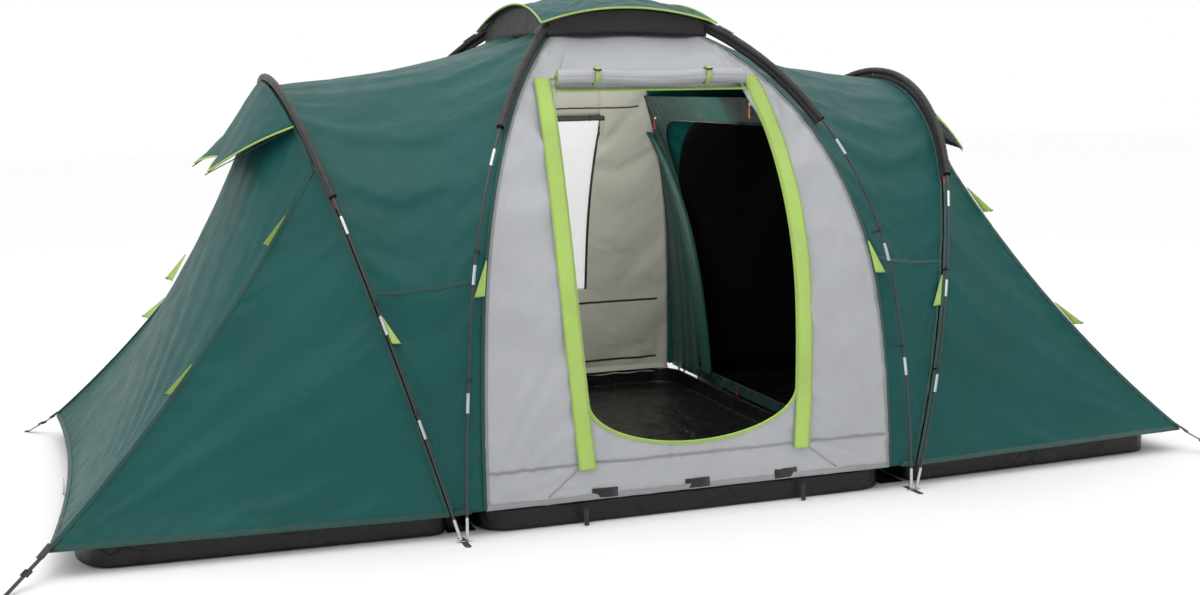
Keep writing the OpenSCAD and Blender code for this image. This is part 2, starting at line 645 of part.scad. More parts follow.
// A hanging bunch of cloth: centre line from the top of the doorway's edge to the sill
module bedroom_flap(sx) {
    n = 12;
    g = [for (i = [0:8]) let (s = i / 8, w = mix(1480, 150, s), y = mix(860, 590, pow(s, 0.8)),
        r = mix(26, 62, sin(150 * s)), c = part_pt(sx, y, w, 44))
        [for (j = [0:n - 1]) ring_pt(c, 0.45 * r, r, 360 * j / n)]];
    pts = [for (row = g, p = row) p];
    m = len(g);
    faces = concat([for (i = [0:m - 2], j = [0:n - 1])
        [i * n + j, i * n + (j + 1) % n, (i + 1) * n + (j + 1) % n, (i + 1) * n + j]],
        [[for (j = [n - 1:-1:0]) j], [for (j = [0:n - 1]) (m - 1) * n + j]]);
    color("#2a5f5a") polyhedron(pts, [for (f = faces) flip(f)], convexity = 4);
}
// The sill zip runs straight along the bottom of the right bedroom's doorway
function sill_pos() = part_pt(1, 300, d_low - 14, 6);
module sill_zip_slider() {
    color("#6d7072") translate(sill_pos()) rotate([0, 0, -90]) slider();
}
module sill_zip_pull() {
    color(red) translate(sill_pos() - [5, 0, 0]) rotate([0, 0, -90]) pull(40);
}
function arch_pos() = part_pt(1, 760, d_top + 6, 9);
module arch_zip_pull() {
    color(red) translate(arch_pos() - [5, 0, 0]) rotate([0, 0, -90]) pull();
}

// ---- guy tabs: triangles sewn into a seam along their long edge, with the free tip at the low end ----
tab_l = 130;
module tab(p, down, out) {
    q = p + tab_l * unit(down);
    sheet([[p, p + 5 * unit(out)], [q, q + 4 * unit(down) + 42 * unit(out)]], 1.2);
}
module guy_tabs() {
    color(lime) {
        for (sx = [-1, 1], sy = [-1, 1]) {
            for (s = [0.13, 0.51]) let (p = ridge(sx, sy, s) + [sx * 6, sy * 6, 7])
                tab(p, ridge(sx, sy, s + 0.05) - ridge(sx, sy, s), [sx * 0.5, sy * 0.8, 0.3]);
            let (p = wall_pt(sy, sx * seam_x(1030), 1030, hang - 10),
                q = wall_pt(sy, sx * seam_x(900), 900, hang - 10))
                tab(p, q - p, [sx, sy * 0.15, 0]);
            let (p = hoop_pt(sx, sy, 905, hang - 10), q = hoop_pt(sx, sy, 775, hang - 10))
                tab(p, q - p, [-sx, sy * 0.25, 0]);
        }
        for (sx = [-1, 1]) let (p = end_pt(sx, 0.25, 0.42), q = end_pt(sx, 0.25, 0.5))
            tab(p + [sx * 8, 0, 8], q - p, [sx * 0.5, 0.8, 0.4]);
    }
}

// ---- corner straps with an eyelet for the peg, and a ladder lock on each ----
strap_w = 20;
strap_t = 1.6;
function strap_top(sx, sy) = corner(sx, sy) + [sx * 12, sy * 12, -8];
function strap_end(sx, sy) = [sx * (corner_x + peg_out), sy * (corner_y + peg_out), 4];
// Places children in a strap's own frame: X down the strap, Z off its upper face
module on_strap(sx, sy, d) {
    v = strap_end(sx, sy) - strap_top(sx, sy);
    translate(strap_top(sx, sy)) rotate([0, 0, atan2(v[1], v[0])])
        rotate([0, atan2(-v[2], norm([v[0], v[1]])), 0]) translate([d, 0, 0]) children();
}
strap_len = norm(strap_end(1, 1) - strap_top(1, 1));
module corner_straps() {
    color(black) for (sx = [-1, 1], sy = [-1, 1]) {
        on_strap(sx, sy, 0) translate([0, -strap_w / 2, 0]) cube([strap_len, strap_w, strap_t]);
        v = unit([sx, sy, 0]);
        translate(strap_end(sx, sy) + 11 * v + [0, 0, -4]) difference() {
            cylinder(r = 12, h = 5);
            translate([0, 0, -1]) cylinder(r = peg_hole_r, h = 7);
        }
    }
}
module strap_lock(sx, sy) {
    color(black) on_strap(sx, sy, strap_len * 0.45) {
        for (y = [-1, 1]) translate([-14, y > 0 ? strap_w / 2 + 1 : -strap_w / 2 - 5, -3.4])
            cube([28, 4, 9]);
        for (x = [-14, -2, 10]) translate([x, -strap_w / 2 - 2, strap_t + 1]) cube([4, strap_w + 4, 3]);
        translate([-2, -strap_w / 2 - 2, -3.4]) cube([4, strap_w + 4, 2.4]);
    }
}
// Webbing loops that peg the door sill and the middle of each end
module peg_loops() {
    color(black) for (r = [[-452, -1190, 90], [452, -1190, 90], [-452, 1190, -90], [452, 1190, -90],
        [-2298, 0, 0], [2298, 0, 180]])
        translate([r[0], r[1], 0]) rotate([0, 0, r[2]]) {
            translate([-8, -9, 8]) cube([1.4, 18, 60]);
            translate([-14, -9, 0]) cube([7.4, 18, 7.9]);
        }
}

main_pole_a();
main_pole_b();
hoop_pole(-1);  // hoop_pole_left
hoop_pole(1);  // hoop_pole_right
shock_cords();
pole_ferrules();
pole_tips();
foot_pins();
foot_webbing();
main_sleeves();
hoop_sleeves();
sleeve_ribbons();
sleeve_eyelets();
pole_clips();
roof_cap();
cap_tapes();
front_panel();
back_panel();
roof_panel(-1);  // roof_panel_left
roof_panel(1);  // roof_panel_right
side_panel(-1, -1);  // side_panel_front_left
side_panel(1, -1);  // side_panel_front_right
side_panel(-1, 1);  // side_panel_back_left
side_panel(1, 1);  // side_panel_back_right
end_panel(-1);  // end_panel_left
end_panel(1);  // end_panel_right
vent_hood(-1);  // vent_hood_left
vent_hood(1);  // vent_hood_right
hood_wands();
door_strips();
door_roll();
door_ties();
tie_toggle(-1);  // tie_toggle_left
tie_toggle(1);  // tie_toggle_right
door_zip();
zip_sliders();
door_zip_pull();
hem_patches();
guy_tabs();
window_film();
window_curtain();
back_zips();
groundsheet_bed(-1);  // groundsheet_left
groundsheet_living();
groundsheet_bed(1);  // groundsheet_right
bedroom_wall(-1);  // bedroom_wall_left
bedroom_wall(1);  // bedroom_wall_right
bedroom_cabin(-1);  // bedroom_cabin_left
bedroom_cabin(1);  // bedroom_cabin_right
bedroom_flap(-1);  // bedroom_flap_left
bedroom_flap(1);  // bedroom_flap_right
sill_zip_slider();
sill_zip_pull();
arch_zip_pull();
corner_straps();
strap_lock(-1, -1);  // strap_lock_front_left
strap_lock(1, -1);  // strap_lock_front_right
strap_lock(-1, 1);  // strap_lock_back_left
strap_lock(1, 1);  // strap_lock_back_right
peg_loops();
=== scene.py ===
# %% [markdown]
# # A two bedroom dome tent
# This lesson dresses a finished frame of poles, pins and buckles in cloth. The hard parts come from
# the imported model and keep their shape. Every sheet, sleeve, strap and zip is built here as thin
# cloth that hangs from the same curves that the poles follow.
# %% Load the frame
import json
import math
import bmesh
import bpy
import numpy as np
from mathutils import Matrix, Vector
from mathutils.bvhtree import BVHTree

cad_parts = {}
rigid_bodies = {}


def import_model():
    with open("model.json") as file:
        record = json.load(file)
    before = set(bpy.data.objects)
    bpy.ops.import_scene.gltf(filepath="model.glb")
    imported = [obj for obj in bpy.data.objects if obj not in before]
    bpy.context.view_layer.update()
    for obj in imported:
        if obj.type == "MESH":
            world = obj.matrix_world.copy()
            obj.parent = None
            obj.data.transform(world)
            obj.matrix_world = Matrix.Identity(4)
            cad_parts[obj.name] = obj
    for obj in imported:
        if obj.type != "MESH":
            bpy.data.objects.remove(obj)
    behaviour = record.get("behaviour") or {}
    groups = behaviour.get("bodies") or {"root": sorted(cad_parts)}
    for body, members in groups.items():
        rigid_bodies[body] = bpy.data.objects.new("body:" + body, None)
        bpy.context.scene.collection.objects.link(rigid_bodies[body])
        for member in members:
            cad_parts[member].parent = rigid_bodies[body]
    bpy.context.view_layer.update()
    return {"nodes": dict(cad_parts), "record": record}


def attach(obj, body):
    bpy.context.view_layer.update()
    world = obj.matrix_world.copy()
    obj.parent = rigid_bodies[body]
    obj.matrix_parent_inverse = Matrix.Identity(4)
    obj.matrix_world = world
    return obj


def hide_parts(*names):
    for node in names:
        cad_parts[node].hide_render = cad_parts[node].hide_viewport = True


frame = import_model()
scene = bpy.context.scene

# %% [markdown]
# ## Pole curves
# A fibre pole pushed into a sleeve bends hard over the crown and hardly at all near its foot. Two
# arcs that meet with one direction give that shape: a tight arc over the top and a slack arc down
# each leg. Everything sewn to a pole is placed by its distance w up the pole from the foot, and by
# how far it hangs inside the pole.
# %% Driving sizes
FOOT_X, FOOT_Y, FOOT_GAP = 0.920, 1.230, 0.020
CROWN, MAIN_R, MAIN_TURN = 1.990, 1.480, 79
HOOP_X, HOOP_H, HOOP_R, HOOP_TURN = 1.425, 1.684, 1.015, 63
POLE_D = 0.0095
HANG = 0.040
HEM_Z = 0.100
CORNER = (2.345, 1.110)
SIDES = (("left", -1), ("right", 1))


def pole_profile(span, rise, r, turn):
    """The two arcs of half a pole: slack leg radius, its centre, crown centre, radius, angles, lengths."""
    turn = math.radians(turn)
    n = np.array([math.sin(turn), math.cos(turn)])
    p = np.array([span, r - rise])
    leg = (2 * r * (p @ n) - p @ p - r * r) / (2 * (p @ n) - 2 * r)
    top = np.array([0, rise - r])
    mid = top + (r - leg) * n
    foot = math.atan2(span - mid[0], -mid[1])
    leg_len = leg * (foot - turn)
    return leg, mid, top, r, turn, foot, leg_len, leg_len + r * turn


def on_pole(pole, w, off=0.0):
    """Distance out from the middle and height, w up the pole from its foot and off inside it."""
    leg, mid, top, r, turn, foot, leg_len, _ = pole
    w = np.asarray(w, float)
    low = w < leg_len
    a = np.where(low, foot - w / leg, turn - (w - leg_len) / r)
    s = np.where(low, mid[0] + (leg - off) * np.sin(a), top[0] + (r - off) * np.sin(a))
    z = np.where(low, mid[1] + (leg - off) * np.cos(a), top[1] + (r - off) * np.cos(a))
    return s, z


DIAG = math.hypot(FOOT_X, FOOT_Y)
DIAG_X, DIAG_Y = FOOT_X / DIAG, FOOT_Y / DIAG
HOOP_FOOT = FOOT_X + FOOT_GAP
HOOP_RISE = math.hypot(HOOP_X - HOOP_FOOT, HOOP_H)
HOOP_LEAN = math.atan2(HOOP_X - HOOP_FOOT, HOOP_H)
MAIN = pole_profile(DIAG, CROWN, MAIN_R, MAIN_TURN)
MAIN_OVER = pole_profile(DIAG, CROWN + POLE_D + 0.006, MAIN_R, MAIN_TURN)
HOOP = pole_profile(FOOT_Y, HOOP_RISE, HOOP_R, HOOP_TURN)
MAIN_HALF, HOOP_HALF = MAIN[7], HOOP[7]
print("half pole lengths", round(MAIN_HALF, 3), round(HOOP_HALF, 3))


def points(*axes):
    return np.stack(np.broadcast_arrays(*[np.asarray(a, float) for a in axes]), -1)


def main_pt(sx, sy, w, off=0.0, over=False):
    s, z = on_pole(MAIN_OVER if over else MAIN, w, off)
    return points(sx * DIAG_X * s, sy * DIAG_Y * s, z)


def hoop_pt(sx, sy, w, off=0.0):
    s, z = on_pole(HOOP, w, off)
    k = z / HOOP_RISE
    return points(sx * (HOOP_FOOT + (HOOP_X - HOOP_FOOT) * k), sy * s, HOOP_H * k)


def mix(a, b, t):
    return a + (b - a) * t


def gaps(p, axis=0):
    """Distances between neighbouring points along one axis of a line or grid."""
    return np.linalg.norm(np.diff(p, axis=axis), axis=-1)


def travelled(d):
    """Distance covered at each point, from the gaps d between the points."""
    return np.concatenate([[0], np.cumsum(d)])


def unit(v):
    return v / (np.linalg.norm(v, axis=-1, keepdims=True) + 1e-12)


# %% [markdown]
# ## Turning curves into meshes
# A sheet of cloth is a grid of points, a strap is a flat section swept along a line, and a cord is a
# round section swept the same way. One small collector takes all three, measures real lengths along
# the cloth for its weave, and becomes one object. A strap's second texture length is the distance
# from its nearest edge, so that its stitches can be drawn by the finish.
# %% The mesh collector
UNLIKELY = np.array([0.31, 0.17, 0.93])  # a direction that no cord runs along


class Shell:
    def __init__(self, name):
        self.name, self.verts, self.faces, self.coords = name, [], [], []

    def grid(self, p, around=False, uv=None, ends=False):
        rows, cols = p.shape[:2]
        base = sum(len(v) for v in self.verts)
        self.verts.append(p.reshape(-1, 3))
        q = np.concatenate([p, p[:, :1]], 1) if around else p
        if uv is None:
            u, v = travelled(gaps(q, 1).mean(0)), travelled(gaps(q).mean(1))
            uv = points(u[None, :], v[:, None])
        for i in range(rows - 1):
            for j in range(q.shape[1] - 1):
                k = (j + 1) % cols
                self.faces.append([base + i * cols + j, base + i * cols + k,
                                   base + (i + 1) * cols + k, base + (i + 1) * cols + j])
                self.coords += [uv[i, j], uv[i, j + 1], uv[i + 1, j + 1], uv[i + 1, j]]
        if ends:
            for i in (0, rows - 1):
                self.faces.append([base + i * cols + j for j in range(cols)])
                self.coords += [uv[i, j] for j in range(cols)]
        return self

    def strap(self, line, across, width, thick=0.0012):
        """A flat strap with soft edges along line, its width along across."""
        line, across = np.asarray(line, float), np.broadcast_to(across, np.shape(line))
        along = np.gradient(line, axis=0)
        up = unit(np.cross(along, across))
        side = unit(np.cross(up, along))
        width = np.broadcast_to(np.asarray(width, float), len(line))
        h, e = thick / 2, min(thick, 0.001)
        section = [(-1, -h / 2), (-1, h / 2), (-1 + 1e-9, h), (0, h), (1 - 1e-9, h), (1, h / 2),
                   (1, -h / 2), (1 - 1e-9, -h), (0, -h), (-1 + 1e-9, -h)]
        rings = []
        for a, b in section:
            reach = a * width / 2 if abs(a) in (0, 1) else np.sign(a) * (width / 2 - e)
            rings.append(line + side * reach[:, None] + up * b)
        p = np.stack(rings, 1)
        u = travelled(gaps(line))
        v = np.array([1 - abs(s[0]) for s in section] + [0])
        uv = points(u[:, None], v[None, :] * width[:, None] / 2)
        return self.grid(p, around=True, uv=uv, ends=True)

    def tube(self, line, r, sides=10, ends=True):
        """A round cord or sewn channel along line; r is a number, or one for each point and side."""
        line = np.asarray(line, float)
        along = unit(np.gradient(line, axis=0))
        a = unit(np.cross(along, UNLIKELY))
        b = np.cross(along, a)
        t = np.arange(sides) * 2 * math.pi / sides
        r = np.asarray(r, float)
        r = r[:, None] if r.ndim == 1 else r
        r = np.broadcast_to(r, (len(line), sides))
        p = line[:, None] + r[..., None] * (np.cos(t)[None, :, None] * a[:, None]
                                            + np.sin(t)[None, :, None] * b[:, None])
        return self.grid(p, around=True, ends=ends)

    def make(self, finish, slot=None, thick=0.0, replaces=()):
        me = bpy.data.meshes.new(self.name)
        me.from_pydata(np.concatenate(self.verts).tolist(), [], self.faces)
        layer = me.uv_layers.new(name="lengths")
        layer.data.foreach_set("uv", np.array(self.coords, np.float32).ravel())
        me.polygons.foreach_set("use_smooth", [True] * len(me.polygons))
        if not thick:
            bm = bmesh.new()
            bm.from_mesh(me)
            bmesh.ops.recalc_face_normals(bm, faces=bm.faces)
            bm.to_mesh(me)
            bm.free()
        me.materials.append(finish)
        o = bpy.data.objects.new(self.name, me)
        scene.collection.objects.link(o)
        if thick:
            skin = o.modifiers.new("cloth", "SOLIDIFY")
            skin.thickness, skin.offset = thick, 0
        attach(o, "tent")
        if replaces:
            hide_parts(*replaces)
        return o


def cut_size(p, around=False):
    """The cut a smooth grid was made from: its longest row, its longest column and its area."""
    q = np.concatenate([p, p[:, :1]], 1) if around else p
    w, l = gaps(q, 1).sum(1).max(), gaps(q).sum(0).max()
    a, b, c, d = q[:-1, :-1], q[:-1, 1:], q[1:, 1:], q[1:, :-1]
    area = (np.linalg.norm(np.cross(b - a, c - a), axis=2)
            + np.linalg.norm(np.cross(c - a, d - a), axis=2)).sum() / 2
    return float(w), float(l), float(area)


def declare(o, p, around=False, flat=None):
    w, l, area = cut_size(p, around)
    w, l = flat or (w, l)
    print(o.name, "cut", round(w, 2), "x", round(l, 2), "area", round(area, 2))

# %% [markdown]
# ## Cloth that is pulled tight
# Tent cloth has no pattern of its own at arm's length. What shows is how it is pulled: long folds
# fan out of each pegged corner, short puckers run off each sewn edge, and the middle sags a little.
# Blender's cloth solver gives the last two when the sheet is held all round and is a trifle too
# large for its place. The fans are worked in first as a height along the surface, because a solver
# would need the real peg forces to find them.
# %% Folds and settling
def normals_of(p):
    return unit(np.cross(np.gradient(p, axis=0), np.gradient(p, axis=1)))


def fan(p, apex, toward, count, height, reach, spread=0.8, seed=1):
    """Fold heights that spread from a pulled corner, count folds to a radian, highest near reach."""
    rng = np.random.default_rng(seed)
    d = p - np.asarray(apex)
    t = np.asarray(toward, float) - np.asarray(apex)
    t /= np.linalg.norm(t)
    n = normals_of(p)[p.shape[0] // 2, p.shape[1] // 2]
    side = np.cross(n, t)
    r = np.linalg.norm(d, axis=2)
    a = np.arctan2(d @ side, d @ t)
    wave = sum(rng.uniform(0.5, 1) * np.cos(2 * math.pi * count * f * a + rng.uniform(0, 6.28))
               for f in (0.55, 1.0, 1.7)) / 2
    return height * wave * np.exp(-(a / spread) ** 2) * (r / reach) * np.exp(1 - r / reach)


def ripples(p, size, height, seed):
    """Broad soft waves about size apart, stretched along the second way of the grid."""
    rng = np.random.default_rng(seed)
    total = np.zeros(p.shape[:2])
    for _ in range(7):
        k = rng.normal(size=3) * np.array([1.0, 1.0, 0.4])
        k *= rng.uniform(0.6, 1.4) / (np.linalg.norm(k) + 1e-9) * 2 * math.pi / size
        total += rng.uniform(0.4, 1) * np.sin(p @ k + rng.uniform(0, 6.28))
    return height * total / 3


def edge_fade(p, around=False, width=0.10):
    """0 at the sheet's sewn edges, rising to 1 at width from them."""
    rows = np.minimum(np.arange(p.shape[0]), np.arange(p.shape[0])[::-1])
    fade = np.clip(rows * gaps(p).mean() / width, 0, 1)[:, None] * np.ones(p.shape[1])
    if not around:
        cols = np.minimum(np.arange(p.shape[1]), np.arange(p.shape[1])[::-1])
        fade = fade * np.clip(cols * gaps(p, 1).mean() / width, 0, 1)[None]
    return np.sin(fade * math.pi / 2)


def settle(o, held, steps=14, grow=0.006, cap=0.016, weight=0.6, bend=0.4):
    """Lets o find its own folds with the points in held fixed, and keeps the result."""
    rest = np.array([v.co for v in o.data.vertices])
    group = o.vertex_groups.new(name="held")
    group.add([int(i) for i in np.flatnonzero(held)], 1.0, "ADD")
    solid = [(m.thickness, m.offset) for m in o.modifiers if m.type == "SOLIDIFY"]
    o.modifiers.clear()
    c = o.modifiers.new("settling", "CLOTH")
    s = c.settings
    s.quality, s.mass, s.vertex_group_mass = 5, 0.02, "held"
    s.tension_stiffness = s.compression_stiffness = 12
    s.shear_stiffness, s.bending_stiffness = 5, bend
    s.shrink_min = -grow
    s.effector_weights.gravity = weight
    c.point_cache.frame_start, c.point_cache.frame_end = 1, steps
    for f in range(1, steps + 1):
        scene.frame_set(f)
    made = o.evaluated_get(bpy.context.evaluated_depsgraph_get()).data
    co = np.zeros(len(rest) * 3, np.float32)
    made.vertices.foreach_get("co", co)
    move = co.reshape(-1, 3) - rest
    size = np.linalg.norm(move, axis=1, keepdims=True) + 1e-9
    move *= cap * np.tanh(size / cap) / size
    scene.frame_set(1)
    o.modifiers.clear()
    o.vertex_groups.clear()
    o.data.vertices.foreach_set("co", (rest + move).astype(np.float32).ravel())
    for t, off in solid:
        skin = o.modifiers.new("cloth", "SOLIDIFY")
        skin.thickness, skin.offset = t, off
    print(o.name, "settled by up to", round(float(np.linalg.norm(move, axis=1).max()) * 1000, 1), "mm")
    return o


def border(p, around=False):
    held = np.zeros(p.shape[:2], bool)
    held[0], held[-1] = True, True
    if not around:
        held[:, 0], held[:, -1] = True, True
    return held.ravel()


def hang_sheet(name, p, finish, slot, replaces, folds=None,
               around=False, thick=0.0012, cap=0.016, flat=None):
    """A sheet over grid p, folds high along its surface, settled with its border held."""
    shape = p if folds is None else p + normals_of(p) * (folds * edge_fade(p, around))[..., None]
    o = Shell(name).grid(shape, around=around).make(finish, slot, thick=thick, replaces=replaces)
    if cap:
        settle(o, border(p, around), cap=cap)
    declare(o, p, around, flat)
    return o


# %% [markdown]
# ## Finishes
# The fly is polyester with a thin coating: a fine plain weave under a soft sheen, with a web of
# faint creases from the bag it is packed in, and pale dust near the ground. Those three show on all
# the cloth, so each is one group, and every cloth finish sets its own strength. Groups give only
# heights, masks and colours, and each finish keeps its own shader.
# %% Groups for cloth
def rgb(r, g, b):
    """A paint colour in light units from its everyday 0 to 255 values."""
    return tuple((c / 255 / 12.92 if c <= 10 else ((c / 255 + 0.055) / 1.055) ** 2.4)
                 for c in (r, g, b)) + (1.0,)


class Graph:
    """Short ways to place and join shader nodes."""
    def __init__(self, tree):
        self.tree, self.x = tree, -1400

    def node(self, kind, label="", **values):
        n = self.tree.nodes.new(kind)
        self.x += 60
        n.location, n.label = (self.x, (hash_of(label) % 7) * 120), label
        for k, v in values.items():
            setattr(n, k, v)
        return n

    def math(self, op, a, b=None, clamp=False):
        n = self.node("ShaderNodeMath", op.lower(), operation=op, use_clamp=clamp)
        for i, v in enumerate((a, b)):
            if v is not None:
                self.into(n.inputs[i], v)
        return n.outputs[0]

    def into(self, socket, v):
        if isinstance(v, bpy.types.NodeSocket):
            self.tree.links.new(v, socket)
        else:
            socket.default_value = v

    def noise(self, vector, scale, detail=2.0, rough=0.5):
        n = self.node("ShaderNodeTexNoise", "noise")
        for k, v in (("Vector", vector), ("Scale", scale), ("Detail", detail), ("Roughness", rough)):
            self.into(n.inputs[k], v)
        return n.outputs[0]

    def span(self, v, low, high, out_low=0.0, out_high=1.0):
        n = self.node("ShaderNodeMapRange", "range", clamp=True)
        for k, x in (("Value", v), ("From Min", low), ("From Max", high), ("To Min", out_low),
                     ("To Max", out_high)):
            self.into(n.inputs[k], x)
        return n.outputs[0]

    def wave(self, length, pitch):
        return self.math("SINE", self.math("MULTIPLY", self.math("DIVIDE", length, pitch), 6.2832))

    def split(self, vector):
        n = self.node("ShaderNodeSeparateXYZ", "parts")
        self.into(n.inputs[0], vector)
        return n.outputs

    def scaled(self, colour, by):
        n = self.node("ShaderNodeVectorMath", "drift", operation="SCALE")
        self.into(n.inputs[0], colour)
        self.into(n.inputs["Scale"], by)
        return n.outputs[0]

    def bump(self, label, height, strength, distance, over=None):
        n = self.node("ShaderNodeBump", label)
        for k, v in (("Strength", strength), ("Distance", distance), ("Height", height), ("Normal", over)):
            if v is not None:
                self.into(n.inputs[k], v)
        return n.outputs[0]

    def blend(self, factor, a, b):
        n = self.node("ShaderNodeMix", "mix", data_type="RGBA")
        for i, v in ((0, factor), (6, a), (7, b)):
            self.into(n.inputs[i], v)
        return n.outputs[2]


def hash_of(word):
    return sum(ord(c) * (i + 3) for i, c in enumerate(word))


def group(name, inputs, outputs):
    t = bpy.data.node_groups.new(name, "ShaderNodeTree")
    for kind, names in (("INPUT", inputs), ("OUTPUT", outputs)):
        for n, socket, value in names:
            s = t.interface.new_socket(n, in_out=kind, socket_type=socket)
            if value is not None:
                s.default_value = value
    g = Graph(t)
    return g, g.node("NodeGroupInput", "in").outputs, g.node("NodeGroupOutput", "out").inputs


VEC, NUM = "NodeSocketVector", "NodeSocketFloat"

g, i, o = group("woven threads", [("Lengths", VEC, None), ("Pitch", NUM, 0.0012)], [("Height", NUM, None)])
warp, weft = (g.math("ABSOLUTE", g.wave(length, i["Pitch"])) for length in list(g.split(i["Lengths"]))[:2])
g.into(o["Height"], g.math("MULTIPLY", warp, weft))

g, i, o = group("packing creases", [("Place", VEC, None), ("Size", NUM, 0.12)], [("Height", NUM, None)])
far = g.math("DIVIDE", 1.0, i["Size"])
warped = g.node("ShaderNodeVectorMath", "shifted", operation="MULTIPLY_ADD")
wobble = g.node("ShaderNodeTexNoise", "wobble")
g.into(wobble.inputs["Vector"], i["Place"])
g.into(wobble.inputs["Scale"], far)
g.into(warped.inputs[0], wobble.outputs[1])
warped.inputs[1].default_value = (0.06, 0.06, 0.06)
g.into(warped.inputs[2], i["Place"])
lines = g.node("ShaderNodeTexVoronoi", "crease web", feature="DISTANCE_TO_EDGE")
g.into(lines.inputs["Vector"], warped.outputs[0])
g.into(lines.inputs["Scale"], far)
web = g.math("POWER", g.span(lines.outputs["Distance"], 0.0, 0.16), 0.5)
soft = g.noise(i["Place"], g.math("MULTIPLY", far, 0.7), 4.0, 0.55)
where = g.span(g.noise(i["Place"], g.math("MULTIPLY", far, 0.35), 1.0), 0.42, 0.66)
g.into(o["Height"], g.math("ADD", g.math("MULTIPLY", g.math("MULTIPLY", web, where), 0.35), soft))

g, i, o = group("ground dust", [("Amount", NUM, 0.3), ("Top", NUM, 0.25)], [("Mask", NUM, None)])
place = g.node("ShaderNodeNewGeometry", "place").outputs["Position"]
speck = g.span(g.noise(place, 38.0, 5.0, 0.7), 0.38, 0.72)
low = g.math("POWER", g.span(g.split(place)[2], i["Top"], 0.0), 1.6)
g.into(o["Mask"], g.math("MULTIPLY", g.math("MULTIPLY", low, speck), i["Amount"], clamp=True))

g, i, o = group("stitch rows", [("Lengths", VEC, None), ("Inset", NUM, 0.003), ("Pitch", NUM, 0.004)],
                [("Mask", NUM, None), ("Height", NUM, None)])
lengths = g.split(i["Lengths"])
off = g.math("ABSOLUTE", g.math("SUBTRACT", lengths[1], i["Inset"]))
dash = g.span(g.wave(lengths[0], i["Pitch"]), -0.6, -0.3)
thread = g.math("MULTIPLY", g.span(off, 0.0009, 0.0004), dash)
g.into(o["Mask"], thread)
g.into(o["Height"], g.math("SUBTRACT", g.math("MULTIPLY", thread, 1.2), g.span(off, 0.0025, 0.0)))

g, i, o = group("fine grain", [("Size", NUM, 0.002)], [("Height", NUM, None), ("Shade", NUM, None)])
spot = g.node("ShaderNodeTexCoord", "place").outputs["Object"]
g.into(o["Height"], g.noise(spot, g.math("DIVIDE", 1.0, i["Size"]), 3.0, 0.6))
g.into(o["Shade"], g.noise(spot, 9.0, 3.0, 0.5))
print("groups", [t.name for t in bpy.data.node_groups])


# %% [markdown]
# One helper then mixes a cloth: its colour drifts a little from place to place, dust pales it near
# the ground, and the three heights meet in one bump. The back of coated cloth can differ from its
# face, so a finish may take a second colour for the back.
# %% Cloth and strap finishes
def place_group(graph, name, **values):
    n = graph.node("ShaderNodeGroup", name, node_tree=bpy.data.node_groups[name])
    for k, v in values.items():
        graph.into(n.inputs[k.replace("_", " ")], v)
    return n.outputs


def new_finish(name, colour):
    """A new material with its own shader, the graph that feeds it, and a node that holds its colour."""
    m = bpy.data.materials.new(name)
    m.use_nodes = True
    m.node_tree.nodes.clear()
    g = Graph(m.node_tree)
    bsdf = g.node("ShaderNodeBsdfPrincipled", "body")
    g.into(g.node("ShaderNodeOutputMaterial", "out").inputs[0], bsdf.outputs[0])
    face = g.node("ShaderNodeRGB", "colour").outputs[0]
    face.default_value = colour
    return m, g, bsdf, face


def set_shader(bsdf, **values):
    for k, v in values.items():
        bsdf.inputs[k.replace("_", " ")].default_value = v


def cloth_finish(name, colour, back=None, rough=0.5, sheen=0.15, crease=0.5, size=0.12, pitch=0.0012,
                 weave=0.25, drift=0.10, dust=0.25, coat=0.0, stitch=None, ribs=0.0, gloss=0.5):
    m, g, bsdf, base = new_finish(name, colour)
    place = g.node("ShaderNodeTexCoord", "place")
    spot, lengths = place.outputs["Object"], place.outputs["UV"]
    shade = g.span(g.noise(spot, 2.3, 4.0, 0.6), 0.3, 0.7, 1 - drift, 1 + drift)
    if back:
        base = g.blend(g.node("ShaderNodeNewGeometry", "back of the cloth").outputs["Backfacing"], base, back)
    base = g.scaled(base, shade)
    heights = g.math("MULTIPLY", place_group(g, "packing creases", Place=spot, Size=size)["Height"], crease)
    threads = place_group(g, "woven threads", Lengths=lengths, Pitch=pitch)["Height"]
    if stitch:
        rows = place_group(g, "stitch rows", Lengths=lengths, Inset=stitch[0], Pitch=0.0045)
        base = g.blend(rows["Mask"], base, stitch[1])
        heights = g.math("ADD", heights, g.math("MULTIPLY", rows["Height"], 0.16))
    mask = place_group(g, "ground dust", Amount=dust)["Mask"]
    creased = g.bump("creases", heights, 0.8, 0.006)
    fine = g.bump("threads", g.math("MULTIPLY", threads, 1.0 + ribs), weave, 0.0003, creased)
    g.into(bsdf.inputs["Base Color"], g.blend(mask, base, DUST))
    g.into(bsdf.inputs["Normal"], fine)
    g.into(bsdf.inputs["Roughness"], g.span(g.noise(spot, 14.0, 3.0), 0.3, 0.7, rough - 0.05, rough + 0.07))
    set_shader(bsdf, Specular_IOR_Level=gloss, Sheen_Weight=sheen, Sheen_Roughness=0.4, Coat_Weight=coat,
               Coat_Roughness=0.25)
    return m


def strap_finish(name, colour, rough=0.6, pitch=0.0016, stitch=None, dust=0.3, crease=0.15):
    """Narrow woven tape: ribs across its width, and stitch rows in from its edges if they are given."""
    return cloth_finish(name, colour, rough=rough, sheen=0.2, crease=crease, size=0.05, pitch=pitch,
                        weave=0.9, drift=0.12, dust=dust, stitch=stitch, ribs=1.0)


